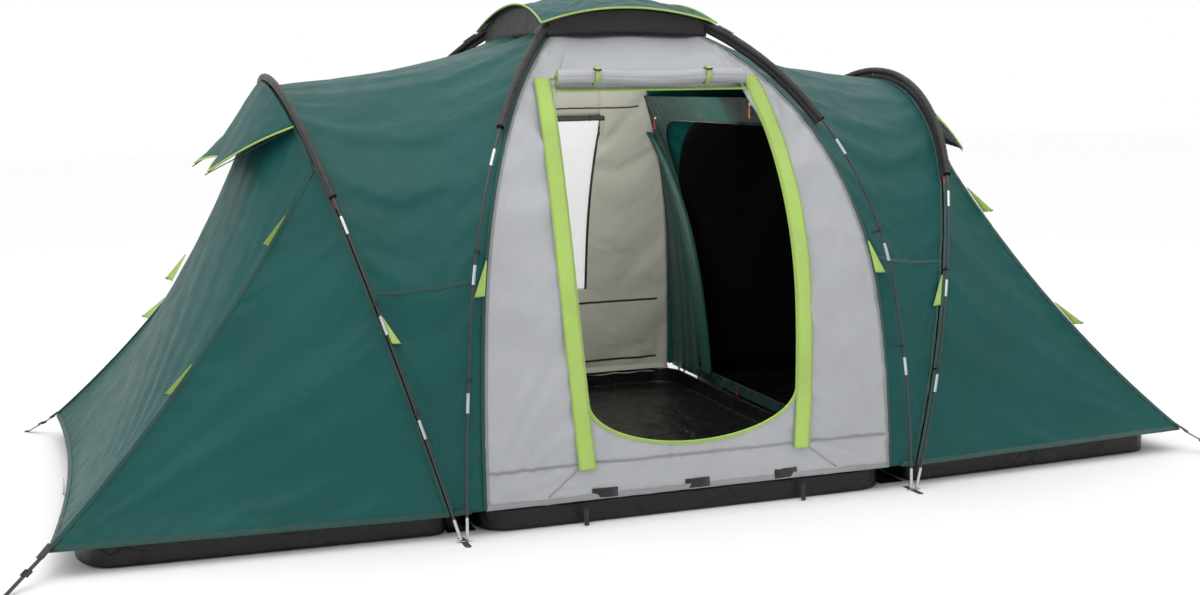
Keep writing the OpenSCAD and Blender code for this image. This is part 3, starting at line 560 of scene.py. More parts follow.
GREEN, GREEN_BACK = rgb(15, 77, 74), rgb(20, 68, 65)
GREY, BEIGE, LIME = rgb(167, 169, 173), rgb(184, 183, 172), rgb(180, 214, 104)
BLACK, THREAD, DUST = rgb(27, 27, 28), rgb(22, 54, 50), rgb(150, 141, 126)
fly = cloth_finish("green fly cloth", GREEN, GREEN_BACK, rough=0.44, sheen=0.02, crease=0.75, size=0.15,
                   dust=0.04, gloss=0.22)
fly_tape = strap_finish("green seam tape", rgb(26, 78, 72), pitch=0.002, stitch=(0.003, THREAD), dust=0.05)
grey_cloth = cloth_finish("grey fly cloth", GREY, rough=0.45, sheen=0.1, crease=0.60, size=0.13, drift=0.05,
                          dust=0.10)
grey_tape = strap_finish("grey seam tape", rgb(158, 160, 163), stitch=(0.003, rgb(128, 130, 132)), dust=0.1)
beige_cloth = cloth_finish("beige fly cloth", BEIGE, rough=0.55, sheen=0.1, crease=0.5, size=0.10, drift=0.07,
                           pitch=0.003, weave=0.6, dust=0.1)
lime_tape = strap_finish("lime binding", LIME, rough=0.5, crease=0.9, stitch=(0.004, rgb(150, 180, 84)),
                         dust=0.06)
black_tape = strap_finish("black webbing", BLACK, pitch=0.0022, stitch=(0.003, rgb(46, 46, 48)), dust=0.08)
sleeve_cloth = cloth_finish("black sleeve cloth", rgb(27, 26, 25), rough=0.5, sheen=0.12, crease=0.8,
                            size=0.035, dust=0.0)
floor_cloth = cloth_finish("black groundsheet", rgb(17, 17, 18), rough=0.34, sheen=0.0, crease=2.6, size=0.10,
                           drift=0.25, dust=0.03, coat=0.06, gloss=0.3)
inner_cloth = cloth_finish("green inner cloth", rgb(18, 68, 61), rgb(14, 42, 39), rough=0.46, sheen=0.05,
                           crease=0.5, size=0.10, dust=0.0)
dark_cloth = cloth_finish("black inner cloth", rgb(5, 5, 6), gloss=0.15, rough=0.8, sheen=0.0, crease=0.6,
                          size=0.2, drift=0.25, dust=0.0)
curtain_cloth = cloth_finish("dark curtain cloth", rgb(54, 51, 46), rough=0.7, crease=0.8, size=0.05,
                             dust=0.0)
red_tape = strap_finish("red tape", rgb(176, 48, 38), dust=0.0)
print("cloth finishes", len([m for m in bpy.data.materials if m.users == 0]))


# %% [markdown]
# The hard parts keep the shapes they came with. Plastic is moulded with a fine grain and goes a
# little dull where hands rub it, drawn metal has lines along it, the glass fibre poles are smooth
# with faint grinding marks, and the window is a clear film.
# %% Hard finishes
def hard_finish(name, colour, rough=0.4, metal=0.0, grain=0.0015, depth=0.15, drift=0.12, coat=0.0,
                alpha=1.0):
    m, g, bsdf, face = new_finish(name, colour)
    worn = place_group(g, "fine grain", Size=grain)
    tint = g.scaled(face, g.span(worn["Shade"], 0.3, 0.7, 1 - drift, 1 + drift))
    mask = place_group(g, "ground dust", Amount=0.35, Top=0.12)["Mask"]
    g.into(bsdf.inputs["Base Color"], g.blend(mask, tint, DUST))
    g.into(bsdf.inputs["Normal"], g.bump("grain", worn["Height"], depth, 0.0004))
    g.into(bsdf.inputs["Roughness"], g.span(worn["Shade"], 0.3, 0.7, rough - 0.06, rough + 0.08))
    set_shader(bsdf, Metallic=metal, Coat_Weight=coat, Alpha=alpha)
    return m


finishes = {
    "pole_glass_fibre": hard_finish("glass fibre", rgb(46, 47, 50), rough=0.3, coat=0.2),
    "elastic_cord": hard_finish("elastic cord", rgb(226, 226, 224), rough=0.7),
    "bright_metal": hard_finish("bright drawn metal", rgb(205, 207, 210), rough=0.28, metal=1.0),
    "brass_eyelet": hard_finish("rolled brass", rgb(200, 168, 96), rough=0.3, metal=1.0),
    "black_plastic": hard_finish("black moulded plastic", rgb(28, 28, 30), rough=0.42),
    "orange_pull": hard_finish("orange pull", rgb(226, 112, 52), rough=0.5),
    "red_pull": hard_finish("red pull", rgb(196, 62, 44), rough=0.5),
    "window_film": hard_finish("clear film", rgb(238, 240, 240), rough=0.12, depth=0.05, grain=0.05,
                               drift=0.02, alpha=0.35),
}
for entry in frame["record"]["subparts"]:
    if entry["material_slot"] in finishes:
        node = frame["nodes"][entry["node"]]
        node.data.materials.clear()
        node.data.materials.append(finishes[entry["material_slot"]])
        bpy.context.view_layer.objects.active = node
print("hard finishes", len(finishes))

# %% [markdown]
# ## The fly
# The front and back panels stand between the two main poles, joined to the roof panels on a seam
# just inside each pole. The middle of each has an opening, so its grid runs from the opening's edge
# outwards to the seam, with the same count of points round both, and the cloth's folds can then
# follow the opening as they do on a real door.
# %% Front and back panel shapes
SEAM = 0.004
DOOR_X, DOOR_SILL, DOOR_BEND, DOOR_TOP, DOOR_BOW = 0.420, 0.287, 0.470, 1.800, 0.042
STRIP_LOW, STRIP_TOP, STRIP_W = 0.215, 1.880, 0.068
WINDOW = (0.345, 0.560, 1.600)
HEM_W, PANEL_TOP = 0.100, 2.690


def seam_x(w):
    w = np.asarray(w, float)
    return on_pole(MAIN, w, HANG)[0] * DIAG_X - (0.008 + 0.050 * np.maximum(0, 1 - w / 1.8) ** 1.2)


def wall_pt(sy, x, w, off=HANG):
    s, z = on_pole(MAIN, w, off)
    return points(x, sy * DIAG_Y * s, z)


def bow(w):
    k = np.clip((np.asarray(w, float) - STRIP_LOW) / (STRIP_TOP - STRIP_LOW), 0, 1)
    return DOOR_BOW * np.sin(math.pi * k)


def door_edge(w):
    return DOOR_X - 0.010 + bow(w)


def run(n):
    return np.arange(n) / n


def outer_loop(counts, low=HEM_W, top=PANEL_TOP, edge=SEAM):
    a, b, c = counts
    up, down = mix(low, top, run(b)), mix(top, low, run(b))
    xl, xt = seam_x(low) - edge, seam_x(top) - edge
    return np.concatenate([points(mix(-xl, xl, run(a)), low), points(seam_x(up) - edge, up),
                           points(mix(xt, -xt, run(c)), top), points(-seam_x(down) + edge, down)])


def door_loop(counts, grow=0.0):
    a, b, c = counts
    hx, drop, top = door_edge(DOOR_BEND) + grow, DOOR_BEND - DOOR_SILL + grow, DOOR_TOP + grow
    t = math.pi * (1 + run(a))
    up, down = mix(DOOR_BEND, top, run(b)), mix(top, DOOR_BEND, run(b))
    xt = door_edge(top) + grow
    return np.concatenate([points(hx * np.cos(t), DOOR_BEND + drop * np.sin(t)),
                           points(door_edge(up) + grow, up),
                           points(mix(xt, -xt, run(c)), top), points(-door_edge(down) - grow, down)])


def window_loop(counts):
    a, b, c = counts
    hx, low, high = WINDOW
    return np.concatenate([points(mix(-hx, hx, run(a)), low), points(hx, mix(low, high, run(b))),
                           points(mix(hx, -hx, run(c)), high), points(-hx, mix(high, low, run(b)))])


def between(sy, inner, outer, rows):
    t = np.linspace(0, 1, rows + 1)[:, None, None]
    p = mix(inner[None], outer[None], t)
    return wall_pt(sy, p[..., 0], p[..., 1])


COUNTS = (64, 88, 36)
front_grid = between(-1, door_loop(COUNTS), outer_loop(COUNTS), 28)
back_grid = between(1, window_loop(COUNTS), outer_loop(COUNTS), 28)
print("front and back grids", front_grid.shape, back_grid.shape)

# %% [markdown]
# Each panel is pulled outwards and down by its pegs. Folds therefore leave the front panel's lower
# corners, and both panels die down to flat cloth at their sewn edges.
# %% Front and back panels
front_folds = (fan(front_grid, [-0.86, -1.19, 0.10], [-0.30, -1.0, 0.9], 4.5, 0.007, 0.5, seed=3)
               + fan(front_grid, [0.86, -1.19, 0.10], [0.30, -1.0, 0.9], 4.5, 0.007, 0.5, seed=4)
               + ripples(front_grid, 0.30, 0.004, 5))
PANEL_CUT = (2 * float(seam_x(HEM_W)), PANEL_TOP - HEM_W)
hang_sheet("front_wall", front_grid, grey_cloth, "grey_fly", ["front_panel"], folds=front_folds,
           around=True, flat=PANEL_CUT)
hang_sheet("back_wall", back_grid, beige_cloth, "beige_fly", ["back_panel"], around=True,
           folds=ripples(back_grid, 0.35, 0.005, 6), flat=PANEL_CUT)

# %% [markdown]
# The roof panels run from the front ground over the top to the back ground, between a main pole and a
# hoop. They sag between the poles like any cloth held on two curved edges.
# %% Roof panel shapes
ROOF_LOW, ROOF_SAG = 0.100, 0.046


def side_of(t):
    return np.where(np.asarray(t) < 0, -1.0, 1.0)


def roof_w(t, half):
    return mix(half, ROOF_LOW, np.abs(t))


def main_edge(sx, t):
    p = main_pt(sx, side_of(t), roof_w(t, MAIN_HALF), HANG)
    p[..., 0] = sx * np.maximum(np.abs(p[..., 0]), 0.005)
    return p


def seam_edge(sx, t):
    p = main_edge(sx, t)
    p[..., 0] = sx * np.maximum(seam_x(roof_w(t, MAIN_HALF)), 0.005)
    return p


def hoop_edge(sx, t, shift=-0.005):
    return hoop_pt(sx, side_of(t), roof_w(t, HOOP_HALF), HANG) + np.array([sx * shift, 0, 0])


def roof_pt(sx, t, v):
    t, v = np.broadcast_arrays(t, v)
    p = mix(main_edge(sx, t), hoop_edge(sx, t), v[..., None])
    d = (ROOF_SAG * 4 * v * (1 - v))[..., None]
    return p - d * points(0 * t, 0.35 * p[..., 1] / FOOT_Y, p[..., 2] / CROWN)


def roof_grid(sx, rows=230, cols=50):
    t = np.linspace(-1, 1, rows + 1)[:, None]
    v = np.linspace(0.012, 1, cols)[None]
    return np.concatenate([seam_edge(sx, t), roof_pt(sx, t, v)], 1)


for side, sx in SIDES:
    p = roof_grid(sx)
    folds = ripples(p, 0.4, 0.005, 10 + sx)
    for sy in (-1, 1):
        folds = folds + fan(p, [sx * 0.93, sy * 1.23, 0.02], [sx * 1.15, sy * 1.0, 1.0], 4, 0.007, 0.8, 0.4,
                            seed=20 + sx + 3 * sy)
    hang_sheet(f"roof_{side}", p, fly, "green_fly", [f"roof_panel_{side}"], folds=folds)

# %% [markdown]
# Beyond each hoop the fly slopes down to two pegged corners. A ridge seam runs from high on the hoop to
# each corner: above it is the end panel, below it a side panel. The end panel is worked out from its
# four edges, so that it meets the hoop, both ridges and the hem exactly.
# %% End and side panel shapes
RIDGE_W, RIDGE_SAG, END_SHIFT, HEM_BOW = 1.541, 0.070, 0.005, 0.060


def ridge(sx, sy, s):
    s = np.asarray(s, float)
    a = hoop_pt(sx, sy, RIDGE_W, HANG) + np.array([sx * END_SHIFT, 0, 0])
    b = points(sx * CORNER[0], sy * CORNER[1], HEM_Z)
    sag = RIDGE_SAG * 4 * s * (1 - s)
    return mix(a, b, s[..., None]) - sag[..., None] * points(0.4 * sx, 0.4 * sy, 0.8)


def end_top(sx, u):
    w = mix(RIDGE_W, HOOP_HALF, 1 - np.abs(u))
    return hoop_pt(sx, side_of(u), w, HANG) + np.array([sx * END_SHIFT, 0, 0])


def end_low(sx, u):
    return points(sx * (CORNER[0] - HEM_BOW * (1 - u * u)), u * CORNER[1], HEM_Z)


def end_pt(sx, u, s):
    u, s = np.broadcast_arrays(u, s)
    f, b, k = ridge(sx, -1, s), ridge(sx, 1, s), ((1 + u) / 2)[..., None]
    one = np.ones(1)
    corners = mix(mix(end_top(sx, -one), end_top(sx, one), k), mix(end_low(sx, -one), end_low(sx, one), k),
                  s[..., None])
    return mix(end_top(sx, u), end_low(sx, u), s[..., None]) + mix(f, b, k) - corners


def flank_pt(sx, sy, s, v):
    s, v = np.broadcast_arrays(s, v)
    a = hoop_pt(sx, sy, mix(RIDGE_W, ROOF_LOW, s), HANG) + np.array([sx * END_SHIFT, 0, 0])
    return mix(a, ridge(sx, sy, s), v[..., None])


for side, sx in SIDES:
    p = end_pt(sx, np.linspace(-0.992, 0.992, 100)[None], np.linspace(0, 1, 90)[:, None])
    folds = ripples(p, 0.45, 0.006, 30 + sx)
    for sy in (-1, 1):
        folds = folds + fan(p, [sx * 2.36, sy * 1.12, 0.09], [sx * 1.5, 0, 1.3], 4, 0.006, 0.9, 0.4,
                            seed=34 + sx + 3 * sy)
        q = flank_pt(sx, sy, np.linspace(0.01, 1, 90)[:, None], np.linspace(0, 1, 64)[None])
        lift = (ripples(q, 0.35, 0.005, 40 + sx + 3 * sy)
                + fan(q, [sx * 2.36, sy * 1.12, 0.09], [sx * 1.3, sy * 0.8, 1.0], 3.2, 0.007, 0.9, 0.5,
                      seed=50 + sx + 3 * sy)
                + fan(q, [sx * 0.94, sy * 1.23, 0.03], [sx * 1.6, sy * 1.1, 0.9], 4, 0.003, 0.5, 0.35,
                      seed=60 + sx + 3 * sy))
        where = ("front" if sy < 0 else "back") + "_" + side
        hang_sheet(f"flank_{where}", q, fly, "green_fly", [f"side_panel_{where}"], folds=lift)
    hang_sheet(f"end_{side}", p, fly, "green_fly", [f"end_panel_{side}"], folds=folds)

# %% [markdown]
# ## Seams and hems
# Tent panels are joined with flat seams: the edges are folded over each other and sewn through twice,
# so a seam is a narrow raised band with two rows of stitches. The bands are laid on the finished cloth
# by finding its nearest surface point, because the cloth has moved since its shape was worked out.
# %% Laying bands on cloth
MIDDLE = np.array([0, 0, 0.7])
BAND_STEP = 0.025


def surface_of(*names):
    verts, faces = [], []
    for n in names:
        me = bpy.data.objects[n].data
        base = len(verts)
        verts += [v.co.copy() for v in me.vertices]
        faces += [[base + i for i in f.vertices] for f in me.polygons]
    return BVHTree.FromPolygons(verts, faces)


def lay_on(tree, line, lift):
    """Points of line moved onto the cloth and lift above it, with the cloth's outward direction."""
    out, ups = [], []
    for q in line:
        at, n, _, _ = tree.find_nearest(Vector(q))
        n = np.array(n) * (1 if np.dot(n, np.array(q) - MIDDLE) > 0 else -1)
        out.append(np.array(at) + n * lift)
        ups.append(n)
    ups = np.array(ups)
    ups = sum(np.roll(ups, k, 0) for k in (-1, 0, 1)) if len(ups) > 4 else ups
    ups[0], ups[-1] = ups[1], ups[-2]
    return np.array(out), ups / np.linalg.norm(ups, axis=1, keepdims=True)


def resample(line, n):
    line = np.asarray(line, float)
    d = travelled(gaps(line))
    t = np.linspace(0, d[-1], n)
    return np.stack([np.interp(t, d, line[:, k]) for k in range(3)], 1)


def band(shell, tree, line, width, lift=0.0022, thick=0.0012):
    """A flat band of the given width sewn onto the cloth in tree, along line."""
    line, ups = lay_on(tree, resample(line, max(4, int(gaps(line).sum() / BAND_STEP))), lift)
    return shell.strap(line, unit(np.cross(ups, np.gradient(line, axis=0))), width, thick)


def each(n=60, lo=0.0, hi=1.0):
    return np.linspace(lo, hi, n)


green_seams, grey_seams = Shell("green_seams"), Shell("grey_seams")
for side, sx in SIDES:
    roof = surface_of(f"roof_{side}")
    for sy in (-1, 1):
        ends = [sy * 0.685, sy * 0.616]
        band(green_seams, roof, roof_pt(sx, mix(ends[0], ends[1], each()), each()), 0.014)
        band(green_seams, roof, roof_pt(sx, np.full(60, sy * 0.998), each()), 0.022)
        band(green_seams, roof, seam_edge(sx, sy * each(120, 0.05, 0.998)), 0.013)
        band(green_seams, roof, hoop_edge(sx, sy * each(120, 0.0, 0.998), shift=-0.010), 0.013)
        where = ("front" if sy < 0 else "back") + "_" + side
        slope = surface_of(f"end_{side}", f"flank_{where}")
        band(green_seams, slope, ridge(sx, sy, each(80, 0.0, 0.995)), 0.016)
        band(green_seams, surface_of(f"flank_{where}"), flank_pt(sx, sy, np.full(60, 0.996), each()), 0.022)
        band(green_seams, surface_of(f"flank_{where}"),
             hoop_pt(sx, sy, each(80, ROOF_LOW + 0.01, RIDGE_W), HANG) + [sx * 0.011, 0, 0], 0.013)
    over = surface_of(f"end_{side}")
    band(green_seams, over, end_pt(sx, each(60, -0.985, 0.985), np.full(60, 0.994)), 0.022)
    band(green_seams, over, end_pt(sx, each(60, -0.985, 0.985), np.full(60, 0.008)), 0.013)
green_seams = green_seams.make(fly_tape, "green_fly")
front = surface_of("front_wall")
band(grey_seams, front, wall_pt(-1, mix(-seam_x(0.238), seam_x(0.238), each()), 0.238), 0.012)
band(grey_seams, front, wall_pt(-1, mix(-0.86, 0.86, each()), 0.110), 0.022)
band(grey_seams, front, wall_pt(-1, mix(-0.43, 0.43, each()), 1.893), 0.012)
for sx in (-1, 1):
    band(grey_seams, front, wall_pt(-1, sx * (seam_x(each(90, 0.11, 2.6)) - 0.012), each(90, 0.11, 2.6)),
         0.012)
    band(grey_seams, front, wall_pt(-1, sx * mix(0.45, 0.60, each(20)), mix(0.238, 0.125, each(20))), 0.006)
grey_seams = grey_seams.make(grey_tape, "grey_fly")
print("seams laid", len(green_seams.data.polygons), len(grey_seams.data.polygons))

# %% [markdown]
# ## Roof cap and rain hoods
# The cap covers the place where the poles cross, and the hoods keep rain out of the vents high on each
# end. Both are single pieces of fly cloth with a bright binding folded over the edge. The binding is a
# round cord of cloth that follows the sheet's own border, so it stays on it at every point.
# %% Cap and hoods
CAP_REACH, CAP_CLEAR, CAP_DIP = 0.640, 0.034, 0.06
HOOD_W, HOOD_TIP, HOOD_NOTCH, HOOD_CLEAR = 1.750, (1.697, 0.347, 1.321), 0.078, 0.021


def cap_pt(u, v):
    x = u * CAP_REACH * DIAG_X * (1 - CAP_DIP * (1 - v * v))
    y = v * CAP_REACH * DIAG_Y * (1 - CAP_DIP * (1 - u * u))
    return points(x, y, CROWN - MAIN_R + np.sqrt((MAIN_R + CAP_CLEAR) ** 2 - x * x - y * y))


def hood_pt(sx, u, s):
    u, s = np.broadcast_arrays(u, s)
    a = hoop_pt(sx, side_of(u), mix(HOOD_W, HOOP_HALF, 1 - np.abs(u)), 0.014) \
        + HOOD_CLEAR * np.array([sx * math.cos(HOOP_LEAN), 0, -math.sin(HOOP_LEAN)])
    b = points(sx * (HOOD_TIP[0] - HOOD_NOTCH * (1 - np.abs(u))), u * HOOD_TIP[1],
               HOOD_TIP[2] + 0.040 * (1 - u * u))
    return mix(a, b, s[..., None]) + points(0 * s, 0 * s, 0.014 * np.sin(math.pi * s))


def rim_of(p):
    return np.concatenate([p[0], p[1:, -1], p[-1, -2::-1], p[-2:0:-1, 0]])


p = cap_pt(each(64, -1, 1)[None], each(64, -1, 1)[:, None])
folds = sum(fan(p, p[i, j], [0, 0, 2.02], 4, 0.006, 0.35, 0.6, seed=70 + k)
            for k, (i, j) in enumerate(((0, 0), (0, -1), (-1, 0), (-1, -1))))
rim = rim_of(p)
hang_sheet("crown_cap", p, fly, "green_fly", ["roof_cap"], folds=folds, cap=0.008)
lime_edges = Shell("lime_bindings")
lime_edges.tube(np.concatenate([rim, rim[:1]]) + [0, 0, 0.002], 0.0042, 8)

# Black insect mesh closes the vent below the cap, from its underside down to the fly; this dark sheet is also
# painted shadow under the cap's rim
rim = rim_of(cap_pt(each(64, -0.93, 0.93)[None], each(64, -0.93, 0.93)[:, None])) - [0, 0, 0.004]
low = np.maximum(np.abs(rim[:, 0]) / DIAG_X, np.abs(rim[:, 1]) / DIAG_Y)
low = points(rim[:, 0], rim[:, 1], CROWN - MAIN_R + np.sqrt((MAIN_R - HANG) ** 2 - low ** 2) + 0.006)
low[:, 2] = np.minimum(low[:, 2], rim[:, 2] - 0.012)
mesh = mix(rim[None], low[None], np.linspace(0, 1, 7)[:, None, None])
hang_sheet("crown_mesh_painted_shadow", mesh, sleeve_cloth, "black_fabric", [], around=True,
           thick=0.0006, cap=0)
for side, sx in SIDES:
    p = hood_pt(sx, each(48, -1, 1)[None], each(34)[:, None])
    hang_sheet(f"hood_{side}", p, fly, "green_fly", [f"vent_hood_{side}"],
               folds=ripples(p, 0.2, 0.003, 80 + sx), cap=0.006)
    lime_edges.tube(np.concatenate([p[:, 0], p[-1, 1:], p[-2::-1, -1]]), 0.0042, 8)

# %% [markdown]
# ## Pole sleeves
# Over the crown each pole runs in a black channel of cloth sewn to the fly by a flat tail. The channel
# is slack, so it gathers into short rings around the pole. The gathers are a small change of radius
# along and around the channel.
# %% Sleeves
MAIN_SLEEVE_W, HOOP_SLEEVE_W, SLEEVE_GAP, SLEEVE_CLOTH = 1.574, 1.357, 0.150, 0.112


def sleeve(name, legs):
    s, total = Shell(name), 0.0
    for k, (line_at, w0, w1) in enumerate(legs):
        rng = np.random.default_rng(90 + k)
        w = np.arange(w0, w1, 0.006)
        line = line_at(w, 0.0)
        t = np.arange(16) * 2 * math.pi / 16
        gather = sum(rng.uniform(0.3, 1)
                     * np.sin(w[:, None] * f + 1.5 * np.sin(t[None] + rng.uniform(0, 6)) + rng.uniform(0, 6))
                     for f in (95, 150, 230, 61)) / 4
        mouth = 1 + 0.10 * np.exp(-((w - w0) / 0.02) ** 2)[:, None]
        s.tube(line, (0.0135 + 0.0012 * gather) * mouth, 16, ends=False)
        s.grid(np.stack([line_at(w, 0.012), line_at(w, 0.024), line_at(w, 0.037)], 1))
        total += w1 - w0
    o = s.make(sleeve_cloth, "black_fabric", thick=0.0008)
    return o


for pole, pairs, over in (("main_pole_a", ((-1, -1), (1, 1)), False),
                          ("main_pole_b", ((1, -1), (-1, 1)), True)):
    legs = [(lambda w, off, sx=sx, sy=sy: main_pt(sx, sy, w, off, over), MAIN_SLEEVE_W,
             MAIN_HALF - SLEEVE_GAP) for sx, sy in pairs]
    made = sleeve(f"sleeve_{pole}", legs)
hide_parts("main_sleeves")
for side, sx in SIDES:
    legs = [(lambda w, off, sx=sx, sy=sy: hoop_pt(sx, sy, w, off), HOOP_SLEEVE_W, HOOP_HALF + 0.003)
            for sy in (-1, 1)]
    made = sleeve(f"sleeve_hoop_{side}", legs)
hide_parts("hoop_sleeves")
print("sleeves made")

# %% [markdown]
# ## The open door
# The door is rolled up above its opening and held by two ties with toggles. A rolled door is a spiral
# of cloth, and its layers show at both ends, so it is built as one long sheet wound round itself. The
# ties pinch it, and it slumps a little between them. Wide bright strips hang beside the opening.
# %% Door roll
ROLL_W, ROLL_HALF, ROLL_R, TIE_X = 1.838, 0.396, 0.033, 0.236
roll_c = wall_pt(-1, 0.0, ROLL_W, HANG - 0.003 - ROLL_R - 0.007)


def rolled(x, turns, r0, r1, centre, ties, slump, seed, pinch=0.10):
    """A grid for cloth wound turns times about a level line through centre, pinched at the ties."""
    th = np.linspace(0, 2 * math.pi * turns, int(turns * 26))[None]
    x = x[:, None]
    near = sum(np.exp(-((x - t) / 0.022) ** 2) for t in ties)
    close = sum(np.exp(-((x - t) / 0.07) ** 2) for t in ties)
    r = mix(r0, r1, th / th.max()) * (1 - pinch * near)
    rng = np.random.default_rng(seed)
    outer = (th / th.max()) ** 3
    for f in (3, 5, 8, 11):
        r = r + outer * r1 * 0.03 * close * np.sin(f * th + x * rng.uniform(20, 60)
                                                   + rng.uniform(0, 6)) * rng.uniform(0.4, 1)
        r = r + outer * r1 * 0.016 * np.sin((f - 2) * th + x * rng.uniform(8, 20) + rng.uniform(0, 6))
    drop = slump * (1 - near) * (0.5 + 0.5 * np.cos(x * 11))
    slide = 0.005 * np.sin(th * 0.9 + 1) * np.clip((np.abs(x) - 0.3) / 0.1, 0, 1) * np.sign(x)
    return points(x + slide + centre[0], centre[1] - r * np.cos(th), centre[2] + r * np.sin(th) - drop)


p = rolled(np.linspace(-ROLL_HALF, ROLL_HALF, 90), 9, 0.006, ROLL_R - 0.001, roll_c, (-TIE_X, TIE_X), 0.009,
           5, 0.16)
hang_sheet("rolled_door", p, grey_cloth, "grey_fly", ["door_roll"],
           thick=0.0008, cap=0)
lime_edges.tube(p[0, ::2], 0.0013, 6)
lime_edges.tube(p[-1, ::2], 0.0013, 6)

# %% Ties and strips
ties = Shell("door_tie_loops")
for sx in (-1, 1):
    a = np.linspace(-0.55 * math.pi, 1.62 * math.pi, 60)
    r = ROLL_R + 0.0012
    loop = points(sx * TIE_X + 0.004 * np.sin(a), roll_c[1] - r * np.cos(a), roll_c[2] + r * np.sin(a))
    ties.strap(loop, [1, 0, 0], 0.018, 0.0014)
    # The spare end stands up behind the toggle, out of its turning circle
    tail = points(sx * TIE_X + np.linspace(0.002, -0.012, 14), roll_c[1] + np.linspace(0.000, 0.012, 14),
                  roll_c[2] + np.linspace(0.036, 0.054, 14))
    ties.strap(tail, [1, 0.2, 0], 0.010, 0.0012)
ties.make(lime_tape, "lime_fabric", replaces=["door_ties"])

w = each(150, STRIP_LOW, STRIP_TOP)
strips = Shell("door_strips_pair")
for sx in (-1, 1):
    free = 0.0025 * np.sin(w * 9 + sx) + 0.0015 * np.sin(w * 23 + 2 * sx)
    centre = wall_pt(-1, sx * (door_edge(w) + STRIP_W / 2), w, HANG - 0.0095 - free)
    edge_l = wall_pt(-1, sx * door_edge(w), w, HANG - 0.0085)
    edge_r = wall_pt(-1, sx * (door_edge(w) + STRIP_W), w, HANG - 0.0085 + 0.7 * free)
    strips.grid(np.stack([edge_l, mix(edge_l, centre, 0.5), centre, mix(centre, edge_r, 0.5), edge_r], 1),
                uv=points(w[:, None] + np.zeros(5),
                          np.array([0.0, 0.017, 0.034, 0.017, 0.0])[None] + 0 * w[:, None]))
strips = strips.make(lime_tape, "lime_fabric", thick=0.0012, replaces=["door_strips"])

zip_band = Shell("door_zip_band")
loops = [door_loop(COUNTS, k) for k in (0.0015, 0.006, 0.011)]
zip_band.grid(np.stack([wall_pt(-1, q[:, 0], q[:, 1], HANG - 0.004 - dz)
                        for q, dz in zip(loops, (0, 0.0012, 0))]), around=True)
zip_band = zip_band.make(lime_tape, "lime_fabric", thick=0.0012, replaces=["door_zip"])
rim = wall_pt(-1, *door_loop(COUNTS, 0.0).T, HANG - 0.003)
lime_edges.tube(np.concatenate([rim, rim[:1]]), 0.0034, 8)
lime_edges = lime_edges.make(lime_tape, "lime_fabric")

# %% [markdown]
# ## The back window
# A clear film fills the opening in the back wall, and its curtain is rolled up above it. Black zips
# cross the wall under and over the window.
# %% Window, curtain and zips
CURTAIN_TIES = (-0.2, 0.05, 0.28)
p = wall_pt(1, np.linspace(-0.343, 0.343, 40)[None], each(60, WINDOW[1] + 0.002, WINDOW[2] - 0.002)[:, None],
            HANG + 0.0005)
hang_sheet("window_sheet", p, finishes["window_film"], "window_film", ["window_film"],
           folds=ripples(p, 0.22, 0.002, 91), thick=0.0005, cap=0)
c = wall_pt(1, 0.0, WINDOW[2] + 0.006, HANG + 0.020)
p = rolled(np.linspace(-0.357, 0.357, 60), 6, 0.003, 0.0145, c, CURTAIN_TIES, 0.002, 8)
hang_sheet("rolled_curtain", p, curtain_cloth, "dark_curtain", ["window_curtain"],
           thick=0.0006, cap=0)
trims, inside = Shell("black_trims"), surface_of("back_wall")
for x in CURTAIN_TIES:
    a = np.linspace(0, 2 * math.pi, 30)
    trims.strap(points(x + 0 * a, c[1] + 0.0152 * np.cos(a), c[2] + 0.0152 * np.sin(a)), [1, 0, 0], 0.014,
                0.001)
for low in (0.145, 0.472, 1.668):
    x = np.linspace(-1, 1, 90) * (seam_x(low) - 0.07)
    band(trims, inside, wall_pt(1, x, low + 0.0045), 0.010, lift=-0.0034, thick=0.0016)
for x in (-1, 1):
    ww = each(50, WINDOW[1] - 0.006, WINDOW[2] + 0.006)
    band(trims, inside, wall_pt(1, x * (WINDOW[0] + 0.008) + 0 * ww, ww), 0.012, lift=-0.0030)
for x in (-0.376, 0.0, 0.376):
    xs = x + np.linspace(-0.050, 0.050, 20)
    band(trims, front, wall_pt(-1, xs, 0.122), 0.036, lift=0.0030)
trims = trims.make(black_tape, "black_fabric", replaces=["back_zips", "hem_patches"])
print("door, window and trims made")

# %% [markdown]
# ## Inside: bedrooms
# A dark green wall with a D shaped doorway closes each bedroom from the living area. It hangs from
# toggles, so it falls in soft upright folds. Behind it the bedroom is a dark cloth cabin, and its door
# is bunched to the back and tied. A bunch is one sheet folded to and fro, and is built that way.
# %% Bedroom shapes
WALL_IN, PART_LOW, PART_TOP, D_POINTS = 0.034, 0.095, 1.740, 54
D_HALF, D_LOW, D_TOP, D_ROUND = 0.800, 0.145, 1.575, 0.260
ARCHES = [(0.905, 0.640, 1.090, 1.480, 0.075), (1.000, 1.300, 1.070, 1.460, 0),
          (1.450, 1.510, 1.040, 1.180, 0),
          (1.850, 1.830, 1.020, 0.660, 0), (2.130, 2.120, 0.990, 0.210, 0)]


def part_pt(sx, y, w, off=0.0):
    s, z = on_pole(MAIN, w, HANG)
    return points(sx * (s * DIAG_X - WALL_IN - off), y, z)


def part_y(w):
    return on_pole(MAIN, w, HANG)[0] * DIAG_Y - 0.016


def d_loop(n, grow=0.0):
    h, low, high = D_HALF + grow, D_LOW - grow, D_TOP + grow
    side = h - D_ROUND
    t = math.radians(90) * (1 - run(n // 2))
    right = points(side + D_ROUND * np.sin(t), high - D_ROUND + D_ROUND * np.cos(t))
    left = right[::-1] * [-1, 1]
    flat = np.linspace(side, -side, n // 3)[1:-1]
    return np.concatenate([points(mix(-h, h, run(n)), low), points(h, mix(low, high - D_ROUND, run(n))),
                           right, points(flat, high), left, points(-h, mix(high - D_ROUND, low, run(n)))])


